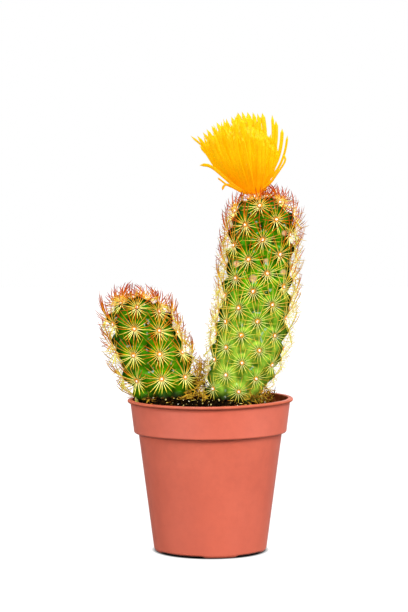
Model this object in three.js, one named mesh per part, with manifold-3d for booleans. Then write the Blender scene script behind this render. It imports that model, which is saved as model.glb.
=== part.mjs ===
// Potted lady finger cactus (Mammillaria elongata) with a yellow everlasting bloom.
// Millimetres, +Z up. The origin is on the pot's axis, on the surface the pot stands on.
// The front of the plant faces -Y. The pieces are the pot, the soil, two stems with their
// spines, and the bloom that sits on the taller stem.
import * as THREE from "three";
import { ConvexHull } from "three/addons/math/ConvexHull.js";
import { mergeVertices } from "three/addons/utils/BufferGeometryUtils.js";
import Module from "manifold-3d";

const wasm = await Module();
wasm.setup();

// Pot: a thin moulded plastic pot with a band round its mouth and a small rolled lip.
const POT_HEIGHT = 49.8;
const POT_WALL = 0.9;
const POT_SIDES = 40;
const LIP_RADIUS = 27.5;
const LIP_HEIGHT = 1.1;
const BAND_TOP_RADIUS = 26.5;
const BAND_FOOT_RADIUS = 25.4;
const BAND_FOOT_HEIGHT = 40.6;
const BAND_UNDERSIDE_HEIGHT = 39.4;
const BODY_TOP_RADIUS = 23.8;
const BODY_FOOT_RADIUS = 18.8;
const FOOT_ROUNDING = 1.3;
const FLOOR_THICKNESS = 1.25;
const EDGE_ROUNDING = 0.3;
const DRAIN_HOLES = 4;
const DRAIN_RADIUS = 2.2;
const DRAIN_CIRCLE = 11;
const DRAIN_SIDES = 12;

// Soil: it fills the pot to just under the lip and is heaped against the stems.
const WALL_GAP = 0.4;
const STEM_GAP = 0.4;
const SOIL_EDGE_HEIGHT = 47.4;
const SOIL_WALL_HEIGHT = 46.2;
const SOIL_RINGS = 7;
const SOIL_CRUMB = 0.35;
const HEAP_AT_WALL = 0.35;
const HEAP_SLOPE = 6;
const SOIL_HEAPS = [
  { x: -13, y: 1, rise: 2.1, spread: 9 },
  { x: 5.5, y: -1, rise: 1.3, spread: 8 },
];

// Stems. The axis is a cubic Bezier in the XZ plane, through [x, z] points, and the radii
// reach the tips of the tubercles. Areoles follow a spiral of one divergence angle, spaced
// so that each has its stated area of skin: at the foot, the middle, the top and the apex.
const TALL_STEM = {
  name: "stem_tall",
  y: -0.8,
  axis: [[2.3, 40], [16.9, 75.3], [14.0, 75.0], [17.3, 108.0]],
  footRadius: 8.0,
  fullRadius: 12.3,
  fullHeight: 70,
  topRadius: 11.3,
  domeHeight: 10.5,
  divergence: 137.53,
  firstAngle: 322.9,
  areas: [44.3, 53.3, 62.6, 20],
  seed: 11,
};
const SHORT_STEM = {
  name: "stem_short",
  y: 2.2,
  axis: [[-10.2, 41], [-15.2, 59.8], [-19.8, 60.8], [-23.7, 77.0]],
  footRadius: 8.8,
  fullRadius: 12.1,
  fullHeight: 62,
  topRadius: 11.2,
  domeHeight: 9.5,
  divergence: -133.21,
  firstAngle: 134.3,
  areas: [22.5, 74.5, 68.9, 21.5],
  seed: 23,
};
const FOOT_DEPTH = 4.5;
const ROWS = { foot: 40, axis: 240, dome: 90 };
const FOOT_SIDES = 9;
const HOLE_SIDES = 20;
const HOLE_TOP = 22;
const HOLE_BOTTOM_GAP = 0.9;

// Tubercles: the skin sinks between the areoles by a share of their spacing, and the
// tubercles flatten out towards the soil.
const VALLEY_SHARE = 0.31;
const SADDLE_SHARE = 0.86;
const BARE_SHARE = 0.35;
const FADE_FROM = 0.4;
const FADE_OVER = 3;
const FIRST_AREOLE_ABOVE_SOIL = 1.7;

// Areoles: a crowned button with two rings of corners, sunk by shares of the valley's depth.
// Its facets are the roots of the spines.
const BUTTON_SIDES = 7;
const BUTTON_RINGS = [
  { ring: 1, radius: 0.4, sunk: -0.03 },
  { ring: 2, radius: 0.82, sunk: 0.07 },
];
const BUTTON_CROWN = 0.18;

// Spines rise from the skin by an angle that grows on the high ring and at the apex.
const SPINE_LENGTH = 5.0;
const SPINE_LENGTH_SPREAD = 0.24;
const SPINE_ROOT_RADIUS = 0.3;
const SPINE_TIP_RADIUS = 0.04;
const SPINE_CLEARANCE = 0.13;
const LEAST_LIFT_OFF_FACET = 0.2;
const LOW_SPINE_RISE = 22;
const HIGH_SPINE_RISE = 40;
const RISE_SPREAD = 8;
const STEEPEST_RISE = 86;
const APEX_SPINE_LIFT = 26;
const APEX_SPINE_SHORTENING = 0.28;
const SPINE_TRIALS = {
  shares: [1, 0.85, 0.7, 0.55],
  lifts: [0, 6, -5, 13, 22, 33, 45],
};
const SPINE_MARGINS = { soil: 0.45, rim: 0.4, stem: 0.5, bloom: 0.4 };

// Bloom: narrow petals that stand out of a shallow cup, fanned round a leaning axis.
const BLOOM_SEAT = { fromApex: 4, angle: 203 };
const BLOOM_SEAT_GAP = 0.5;
const BLOOM_LEAN = { left: 8.5, forward: 4 };
const CORE_RADIUS = 4.3;
const CORE_WAIST_HEIGHT = 2.4;
const CORE_CROWN = 3.1;
const CORE_FOOT_RADIUS = 2.2;
const CORE_RINGS = [
  { polar: 118, sides: 12 },
  { polar: 152, sides: 8 },
];
const SEAT_MARGIN = 0.9;
const PETALS = 100;
const PETAL_LENGTH = 21.2;
const SHORTEST_ON_RIGHT = 0.56;
const PETAL_WIDTH = 1.5;
const PETAL_THICKNESS = 0.62;
const PETAL_CURL = 0.28;
const PETAL_SECTIONS = [
  { at: 0, width: 0.48, thickness: 1 },
  { at: 0.45, width: 1, thickness: 1 },
  { at: 0.84, width: 0.72, thickness: 1 },
  { at: 1, width: 0, thickness: 0 },
];
const BASE_SPREAD = 86;
const FAN_SPREAD = 49;

const RAD = Math.PI / 180;
const GOLDEN_ANGLE = 137.508;

const smooth = (x) => {
  const t = THREE.MathUtils.clamp(x, 0, 1);
  return t * t * (3 - 2 * t);
};

const lerp = THREE.MathUtils.lerp;

// A repeatable stream of numbers from 0 to 1.
function seeded(seed) {
  let state = seed;
  return () => {
    state = (Math.imul(state, 1664525) + 1013904223) >>> 0;
    return state / 4294967296;
  };
}

// Linear look-up of a rising table.
function lookUp(xs, ys, x) {
  if (x <= xs[0]) return ys[0];
  if (x >= xs[xs.length - 1]) return ys[ys.length - 1];
  let low = 0;
  let high = xs.length - 1;
  while (high - low > 1) {
    const middle = (low + high) >> 1;
    if (xs[middle] > x) high = middle;
    else low = middle;
  }
  return lerp(ys[low], ys[high], (x - xs[low]) / (xs[high] - xs[low]));
}

// A closed geometry as a manifold solid.
function solidOf(geometry) {
  const bare = new THREE.BufferGeometry();
  bare.setAttribute("position", geometry.getAttribute("position"));
  bare.setIndex(geometry.index);
  const merged = mergeVertices(bare, 1e-4);
  const triVerts = [];
  for (let i = 0; i < merged.index.count; i += 3) {
    const [a, b, c] = merged.index.array.slice(i, i + 3);
    if (a !== b && b !== c && c !== a) triVerts.push(a, b, c);
  }
  return new wasm.Manifold(
    new wasm.Mesh({
      numProp: 3,
      vertProperties: new Float32Array(merged.attributes.position.array),
      triVerts: new Uint32Array(triVerts),
    }),
  );
}

function geometryOf(solid) {
  const mesh = solid.getMesh();
  const geometry = new THREE.BufferGeometry();
  geometry.setAttribute("position", new THREE.BufferAttribute(mesh.vertProperties, 3));
  geometry.setIndex(new THREE.BufferAttribute(mesh.triVerts, 1));
  return geometry;
}

// A solid of revolution round Z from [radius, height] points.
function revolve(profile, sides) {
  const points = profile.map(([r, z]) => new THREE.Vector2(r, z));
  return new THREE.LatheGeometry(points, sides).rotateX(Math.PI / 2);
}

// A unit vector at a polar angle from +Z and an angle round it, in radians.
function direction(polar, angle) {
  const aside = Math.sin(polar);
  return new THREE.Vector3(aside * Math.cos(angle), aside * Math.sin(angle), Math.cos(polar));
}

// Triangles of points spread over a sphere, as the faces of their convex hull.
function trianglesOn(sphere) {
  const order = new Map(sphere.map((p, i) => [p, i]));
  return new ConvexHull()
    .setFromPoints(sphere)
    .faces.map((face) => [0, 1, 2].map((i) => order.get(face.getEdge(i).head().point)));
}

// The pot's inner wall from its floor to its mouth, as [radius, height] points.
const INNER_WALL = [
  [BODY_FOOT_RADIUS - POT_WALL, FLOOR_THICKNESS],
  [BODY_TOP_RADIUS - POT_WALL, BAND_UNDERSIDE_HEIGHT + 2 * EDGE_ROUNDING],
  [BAND_FOOT_RADIUS - POT_WALL, BAND_FOOT_HEIGHT + EDGE_ROUNDING],
  [BAND_TOP_RADIUS - POT_WALL, POT_HEIGHT - EDGE_ROUNDING],
];

function potGeometry() {
  const underLip = POT_HEIGHT - LIP_HEIGHT;
  const profile = [
    [0, 0],
    [BODY_FOOT_RADIUS - FOOT_ROUNDING, 0],
    [BODY_FOOT_RADIUS - FOOT_ROUNDING / 3, FOOT_ROUNDING / 3],
    [BODY_FOOT_RADIUS, FOOT_ROUNDING],
    [BODY_TOP_RADIUS, BAND_UNDERSIDE_HEIGHT],
    [BAND_FOOT_RADIUS - EDGE_ROUNDING, BAND_UNDERSIDE_HEIGHT + EDGE_ROUNDING],
    [BAND_FOOT_RADIUS, BAND_FOOT_HEIGHT],
    [BAND_TOP_RADIUS, underLip],
    [LIP_RADIUS - EDGE_ROUNDING, underLip],
    [LIP_RADIUS, underLip + EDGE_ROUNDING],
    [LIP_RADIUS, POT_HEIGHT - EDGE_ROUNDING],
    [LIP_RADIUS - EDGE_ROUNDING, POT_HEIGHT],
    [BAND_TOP_RADIUS - POT_WALL + EDGE_ROUNDING, POT_HEIGHT],
    ...INNER_WALL.toReversed(),
    [0, FLOOR_THICKNESS],
  ];
  let pot = solidOf(revolve(profile, POT_SIDES));
  for (let i = 0; i < DRAIN_HOLES; i++) {
    const angle = ((i + 0.5) / DRAIN_HOLES) * 2 * Math.PI;
    const drillLength = 4 * FLOOR_THICKNESS;
    const drill = new THREE.CylinderGeometry(DRAIN_RADIUS, DRAIN_RADIUS, drillLength, DRAIN_SIDES)
      .rotateX(Math.PI / 2)
      .translate(DRAIN_CIRCLE * Math.cos(angle), DRAIN_CIRCLE * Math.sin(angle), 0);
    pot = pot.subtract(solidOf(drill));
  }
  return geometryOf(pot);
}

// Height of the soil at a place in the pot.
function soilHeight(x, y) {
  const heaped = SOIL_HEAPS.reduce((sum, heap) => {
    const distance2 = (x - heap.x) ** 2 + (y - heap.y) ** 2;
    return sum + heap.rise * Math.exp(-distance2 / (2 * heap.spread ** 2));
  }, 0);
  const toWall = smooth((BAND_TOP_RADIUS - POT_WALL - Math.hypot(x, y)) / HEAP_SLOPE);
  const crumbs = Math.sin(1.9 * x + 0.7 * y) * Math.cos(1.6 * y - 0.5 * x);
  return SOIL_EDGE_HEIGHT + heaped * lerp(HEAP_AT_WALL, 1, toWall) + SOIL_CRUMB * crumbs;
}

// The soil stands on the pot's floor, with its side a little inside the pot's wall.
function soilGeometry(stems) {
  const radii = INNER_WALL.map(([r]) => r);
  const heights = INNER_WALL.map(([, z]) => z);
  const side = [...heights.slice(0, -1), SOIL_WALL_HEIGHT].map((z) =>
    [lookUp(heights, radii, z) - WALL_GAP, z]);
  const edgeRadius = side.at(-1)[0];
  const top = [];
  for (let i = 0; i <= SOIL_RINGS; i++) top.push([edgeRadius * (1 - i / SOIL_RINGS), POT_HEIGHT]);
  const geometry = revolve([[0, FLOOR_THICKNESS], ...side, ...top], POT_SIDES);
  const position = geometry.attributes.position;
  for (let i = 0; i < position.count; i++) {
    const isTop = position.getZ(i) > POT_HEIGHT - 0.01;
    if (isTop) position.setZ(i, soilHeight(position.getX(i), position.getY(i)));
  }
  return geometryOf(stems.reduce((soil, stem) => soil.subtract(stem.hole()), solidOf(geometry)));
}

// Straight needles and petal stretches placed so far, so that a new one keeps clear of them.
const placed = [];

// The gap between two tapered needles, from the nearest points of their centre lines.
function gapBetween(s, t) {
  const d1 = s.tip.clone().sub(s.root);
  const d2 = t.tip.clone().sub(t.root);
  const between = s.root.clone().sub(t.root);
  const a = d1.lengthSq();
  const e = d2.lengthSq();
  const b = d1.dot(d2);
  const c = d1.dot(between);
  const f = d2.dot(between);
  const across = a * e - b * b;
  let u = across > 1e-9 ? THREE.MathUtils.clamp((b * f - c * e) / across, 0, 1) : 0;
  let v = (b * u + f) / e;
  if (v < 0 || v > 1) {
    v = THREE.MathUtils.clamp(v, 0, 1);
    u = THREE.MathUtils.clamp((b * v - c) / a, 0, 1);
  }
  const distance = between.addScaledVector(d1, u).addScaledVector(d2, -v).length();
  return distance - lerp(s.rootRadius, s.tipRadius, u) - lerp(t.rootRadius, t.tipRadius, v);
}

// Whether a needle is clear of all placed ones, apart from those of its own areole.
function keepsClear(needle) {
  const reach = needle.root.distanceTo(needle.tip);
  return placed.every((other) => {
    if (other.key === needle.key) return true;
    const apart = needle.root.distanceTo(other.root) - other.root.distanceTo(other.tip);
    if (apart > reach + 1) return true;
    return gapBetween(needle, other) > SPINE_CLEARANCE;
  });
}

class Stem {
  constructor(spec) {
    this.spec = spec;
    const corners = spec.axis.map(([x, z]) => new THREE.Vector3(x, spec.y, z));
    this.curve = new THREE.CubicBezierCurve3(...corners);
    this.length = this.curve.getLength();
    this.random = seeded(spec.seed);
    this.walkMeridian();
    this.placeAreoles();
  }

  tipRadius(z) {
    const { axis, footRadius, fullRadius, fullHeight, topRadius } = this.spec;
    const grown = smooth((z - axis[0][1]) / (fullHeight - axis[0][1]));
    const narrowed = smooth((z - fullHeight) / (axis[3][1] - fullHeight));
    return lerp(footRadius, fullRadius, grown) - (fullRadius - topRadius) * narrowed;
  }

  // Rows along one side of the stem, from the buried foot to the apex: u is the distance
  // along the skin, spread is the conformal height used to lay the skin out on a sphere.
  walkMeridian() {
    const rows = [];
    const { footRadius, topRadius, domeHeight } = this.spec;
    const start = this.curve.getPointAt(0);
    const startTangent = this.curve.getTangentAt(0);
    for (let i = 1; i < ROWS.foot; i++) {
      const angle = (i / ROWS.foot) * (Math.PI / 2);
      const along = -FOOT_DEPTH * Math.cos(angle);
      rows.push({ along, r: footRadius * Math.sin(angle), tangent: startTangent,
        centre: start.clone().addScaledVector(startTangent, along) });
    }
    for (let i = 0; i <= ROWS.axis; i++) {
      const share = i / ROWS.axis;
      const centre = this.curve.getPointAt(share);
      rows.push({ along: share * this.length, r: this.tipRadius(centre.z), centre,
        tangent: this.curve.getTangentAt(share) });
    }
    const end = this.curve.getPointAt(1);
    const endTangent = this.curve.getTangentAt(1);
    for (let i = 1; i < ROWS.dome; i++) {
      const angle = (i / ROWS.dome) * (Math.PI / 2);
      const along = domeHeight * Math.sin(angle);
      rows.push({ along: this.length + along, r: topRadius * Math.cos(angle),
        tangent: endTangent, centre: end.clone().addScaledVector(endTangent, along) });
    }
    rows[0].u = 0;
    rows[0].spread = 0;
    for (let i = 1; i < rows.length; i++) {
      const du = Math.hypot(rows[i].along - rows[i - 1].along, rows[i].r - rows[i - 1].r);
      rows[i].u = rows[i - 1].u + du;
      rows[i].spread = rows[i - 1].spread + (2 * du) / (rows[i].r + rows[i - 1].r);
    }
    const zeroU = rows.find((row) => row.along >= 0).u;
    const middleSpread = rows.at(-1).spread / 2;
    rows.forEach((row, i) => {
      row.u -= zeroU;
      row.spread -= middleSpread;
      const before = rows[Math.max(0, i - 1)];
      const after = rows[Math.min(rows.length - 1, i + 1)];
      const slope = new THREE.Vector2(after.along - before.along, after.r - before.r).normalize();
      row.outward = slope.x;
      row.upward = -slope.y;
      row.area = this.skinArea(row);
    });
    this.rows = rows;
    this.us = rows.map((row) => row.u);
    this.spreads = rows.map((row) => row.spread);
    this.columns = {
      cx: rows.map((row) => row.centre.x),
      cz: rows.map((row) => row.centre.z),
      tx: rows.map((row) => row.tangent.x),
      tz: rows.map((row) => row.tangent.z),
      r: rows.map((row) => row.r),
      outward: rows.map((row) => row.outward),
      upward: rows.map((row) => row.upward),
      area: rows.map((row) => row.area),
    };
  }

  // The area of skin that one areole has, at a row of the meridian.
  skinArea({ along, r }) {
    const [foot, middle, top, apex] = this.spec.areas;
    const share = THREE.MathUtils.clamp(along / this.length, 0, 1);
    if (along > this.length) return lerp(top, apex, 1 - r / this.spec.topRadius);
    return share < 0.5 ? lerp(foot, middle, share * 2) : lerp(middle, top, share * 2 - 1);
  }

  // The skin through the tubercle tips, at a distance u along it and an angle round it.
  skin(u, angle) {
    const read = (key) => lookUp(this.us, this.columns[key], u);
    const tangent = new THREE.Vector3(read("tx"), 0, read("tz")).normalize();
    const side = new THREE.Vector3(tangent.z, 0, -tangent.x);
    const out = side.multiplyScalar(Math.cos(angle)).add(new THREE.Vector3(0, Math.sin(angle), 0));
    const tip = new THREE.Vector3(read("cx"), this.spec.y, read("cz"));
    tip.addScaledVector(out, read("r"));
    const normal = out.multiplyScalar(read("outward")).addScaledVector(tangent, read("upward"));
    return { tip, normal: normal.normalize(), tangent, area: read("area"), r: read("r") };
  }

  // The skin laid out on a unit sphere without stretching angles, and back again.
  toSphere(u, angle) {
    const spread = lookUp(this.us, this.spreads, u);
    const latitude = 2 * Math.atan(Math.exp(spread)) - Math.PI / 2;
    return direction(Math.PI / 2 - latitude, angle);
  }

  fromSphere(point) {
    const latitude = Math.asin(THREE.MathUtils.clamp(point.z, -1, 1));
    const spread = Math.log(Math.tan(latitude / 2 + Math.PI / 4));
    return { u: lookUp(this.spreads, this.us, spread), angle: Math.atan2(point.y, point.x) };
  }

  placeAreoles() {
    const count = [0];
    const rows = this.rows.filter((row) => row.along >= 0);
    for (let i = 1; i < rows.length; i++) {
      const density = Math.PI * (rows[i].r / rows[i].area + rows[i - 1].r / rows[i - 1].area);
      count.push(count[i - 1] + density * (rows[i].u - rows[i - 1].u));
    }
    const us = rows.map((row) => row.u);
    this.areoles = [];
    for (let k = 0; k < Math.floor(count.at(-1)); k++) {
      const u = lookUp(count, us, k);
      const angle = (this.spec.firstAngle + this.spec.divergence * k) * RAD;
      const skin = this.skin(u, angle);
      const above = skin.tip.z - soilHeight(skin.tip.x, skin.tip.y);
      const buried = above < FIRST_AREOLE_ABOVE_SOIL;
      this.areoles.push({ u, angle, ...skin, buried, bare: buried, key: this.spec.name + k });
    }
  }

  // The place on the skin that carries the bloom. The areoles under it have no spines.
  seatFor({ fromApex, angle }) {
    const seat = this.skin(this.us.at(-1) - fromApex, angle * RAD);
    const reach = CORE_FOOT_RADIUS + SEAT_MARGIN;
    const covered = this.areoles.filter((areole) => areole.tip.distanceTo(seat.tip) < reach);
    covered.forEach((areole) => {
      areole.bare = true;
    });
    return seat;
  }

  // How far the skin lies under the tubercle tips, away from the areoles.
  valleyDepth(area) {
    return VALLEY_SHARE * Math.sqrt(area);
  }

  // A point of the skin, sunk by a share of the valley's depth. Near the soil all is valley.
  sunk(spherePoint, share) {
    const { u, angle } = this.fromSphere(spherePoint);
    const { tip, normal, area } = this.skin(u, angle);
    const above = tip.z - soilHeight(tip.x, tip.y) - FADE_FROM;
    const sinking = lerp(1, share, smooth(above / FADE_OVER));
    return tip.addScaledVector(normal, -sinking * this.valleyDepth(area));
  }

  // Points of the mesh on the sphere, each with its place in space: the areoles, the
  // saddle between each two neighbours, and the hollow between each three.
  gather() {
    const vertices = [];
    const add = (sphere, place, extra = {}) => vertices.push({ sphere, place, ...extra });
    const centres = this.areoles.map((areole) => this.toSphere(areole.u, areole.angle));
    const foot = [direction(Math.PI, 0)];
    for (let i = 0; i < FOOT_SIDES; i++) {
      foot.push(this.toSphere(-FOOT_DEPTH / 3, (i / FOOT_SIDES) * 2 * Math.PI));
    }
    foot.forEach((point) => add(point, this.sunk(point, 1)));
    this.areoles.forEach((areole, k) => {
      const crown = -BUTTON_CROWN / this.valleyDepth(areole.area);
      const share = areole.bare ? BARE_SHARE : crown;
      add(centres[k], this.sunk(centres[k], share), { areole: k });
      if (!areole.bare) this.addRings(add, areole, k, centres[k]);
    });
    const corners = [...centres, ...foot];
    for (const triangle of trianglesOn(corners)) {
      const isBuried = triangle.every((i) => !this.areoles[i] || this.areoles[i].buried);
      if (isBuried) continue;
      const middle = triangle.reduce((sum, i) => sum.add(corners[i]), new THREE.Vector3());
      add(middle.normalize(), this.sunk(middle, 1));
      triangle.forEach((i, n) => {
        const j = triangle[(n + 1) % 3];
        if (i > j) return;
        const saddle = corners[i].clone().add(corners[j]).normalize();
        add(saddle, this.sunk(saddle, SADDLE_SHARE));
      });
    }
    return vertices;
  }

  // The rings of corners round an areole.
  addRings(add, areole, k, centre) {
    const scale = Math.hypot(centre.x, centre.y) / areole.r;
    const east = new THREE.Vector3(-centre.y, centre.x, 0).normalize();
    const north = centre.clone().cross(east);
    const turn = this.random() * 2 * Math.PI;
    for (const { ring, radius, sunk } of BUTTON_RINGS) {
      for (let i = 0; i < BUTTON_SIDES; i++) {
        const bearing = turn + ((i + ring / 2) / BUTTON_SIDES) * 2 * Math.PI;
        const offset = east.clone().multiplyScalar(Math.cos(bearing));
        offset.addScaledVector(north, Math.sin(bearing)).multiplyScalar(radius * scale);
        const point = centre.clone().add(offset).normalize();
        add(point, this.sunk(point, sunk), { areole: k, ring });
      }
    }
  }

  // The tip of the spine that stands on one facet of an areole, or null where none fits.
  spineTip(facet, areole) {
    const root = facet.reduce((sum, v) => sum.add(v.place), new THREE.Vector3()).divideScalar(3);
    const outward = root.clone().sub(areole.tip).projectOnPlane(areole.normal).normalize();
    const isHigh = facet.filter((v) => v.ring === 1).length === 2;
    const apexShare = smooth(1.6 * areole.normal.dot(areole.tangent) - 0.6);
    const rise = (isHigh ? HIGH_SPINE_RISE : LOW_SPINE_RISE) + APEX_SPINE_LIFT * apexShare
      + RISE_SPREAD * (this.random() - 0.5);
    const length = SPINE_LENGTH * (1 - APEX_SPINE_SHORTENING * apexShare)
      * (1 + SPINE_LENGTH_SPREAD * (this.random() - 0.5));
    const [a, b, c] = facet.map((v) => v.place);
    const facing = b.clone().sub(a).cross(c.clone().sub(a)).normalize();
    for (const share of SPINE_TRIALS.shares) {
      for (const lift of SPINE_TRIALS.lifts) {
        const angle = Math.min(rise + lift, STEEPEST_RISE) * RAD;
        const way = outward.clone().multiplyScalar(Math.cos(angle));
        way.addScaledVector(areole.normal, Math.sin(angle));
        if (way.dot(facing) < LEAST_LIFT_OFF_FACET) continue;
        const tip = root.clone().addScaledVector(way, length * share);
        const needle = { root, tip, key: areole.key,
          rootRadius: SPINE_ROOT_RADIUS, tipRadius: SPINE_TIP_RADIUS };
        if (this.isFree(needle) && keepsClear(needle)) {
          placed.push(needle);
          return tip;
        }
      }
    }
    return null;
  }

  // Whether a spine stays out of the soil, the pot's rim, the bloom's core and other stems.
  isFree({ root, tip }) {
    const rimInside = BAND_TOP_RADIUS - POT_WALL - SPINE_MARGINS.rim;
    const steps = 8;
    for (let i = 1; i <= steps; i++) {
      const p = root.clone().lerp(tip, i / steps);
      if (p.z < soilHeight(p.x, p.y) + SPINE_MARGINS.soil) return false;
      const isOverRim = Math.hypot(p.x, p.y) > rimInside;
      if (isOverRim && p.z < POT_HEIGHT + SPINE_MARGINS.rim) return false;
      if (this.obstacles.some((blocks) => blocks(p))) return false;
    }
    return true;
  }

  // True where a point is within a margin of this stem's tubercles.
  covers(p, margin) {
    const slice = 1.6;
    return this.rows.some((row) => {
      const along = p.clone().sub(row.centre);
      return Math.abs(along.dot(row.tangent)) < slice && along.length() < row.r + margin;
    });
  }

  // The whole stem. The obstacles say whether a point is too near another piece.
  build(obstacles) {
    this.obstacles = obstacles;
    const vertices = this.gather();
    const places = vertices.map((v) => v.place);
    const faces = [];
    for (const triangle of trianglesOn(vertices.map((v) => v.sphere))) {
      const facet = triangle.map((i) => vertices[i]);
      const k = facet[0].areole;
      const isRoot = facet.every((v) => v.ring && v.areole === k);
      const tip = isRoot ? this.spineTip(facet, this.areoles[k]) : null;
      if (!tip) {
        faces.push(triangle);
        continue;
      }
      const [a, b, c] = triangle;
      const t = places.push(tip) - 1;
      faces.push([a, b, t], [b, c, t], [c, a, t]);
    }
    return meshGeometry(places, faces);
  }

  // The plain hole that the soil leaves for the buried end of the stem.
  hole() {
    const sides = HOLE_SIDES;
    const places = [];
    const levels = this.rows.filter((row, i) => i % 8 === 4 && row.along < HOLE_TOP);
    levels.forEach((row) => {
      for (let i = 0; i < sides; i++) {
        const { tip, normal, area } = this.skin(row.u, (i / sides) * 2 * Math.PI);
        places.push(tip.addScaledVector(normal, STEM_GAP - this.valleyDepth(area)));
      }
    });
    const faces = [];
    for (let level = 0; level < levels.length - 1; level++) {
      for (let i = 0; i < sides; i++) {
        const [a, b] = [level * sides + i, level * sides + ((i + 1) % sides)];
        faces.push([a, b, b + sides], [a, b + sides, a + sides]);
      }
    }
    const lowest = levels[0].centre.clone();
    lowest.z -= HOLE_BOTTOM_GAP;
    const bottom = places.push(lowest) - 1;
    const top = places.push(levels.at(-1).centre.clone()) - 1;
    const last = (levels.length - 1) * sides;
    for (let i = 0; i < sides; i++) {
      const next = (i + 1) % sides;
      faces.push([bottom, next, i], [top, last + i, last + next]);
    }
    return solidOf(meshGeometry(places, faces));
  }
}

function meshGeometry(places, faces) {
  const geometry = new THREE.BufferGeometry();
  const numbers = places.flatMap((p) => [p.x, p.y, p.z]);
  geometry.setAttribute("position", new THREE.Float32BufferAttribute(numbers, 3));
  geometry.setIndex(faces.flat());
  return geometry;
}

// The corners of a petal's cross-section, as signs of its half thickness and half width.
const BLADE_CORNERS = [[1, -1], [1, 1], [-1, 1], [-1, -1]];

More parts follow.
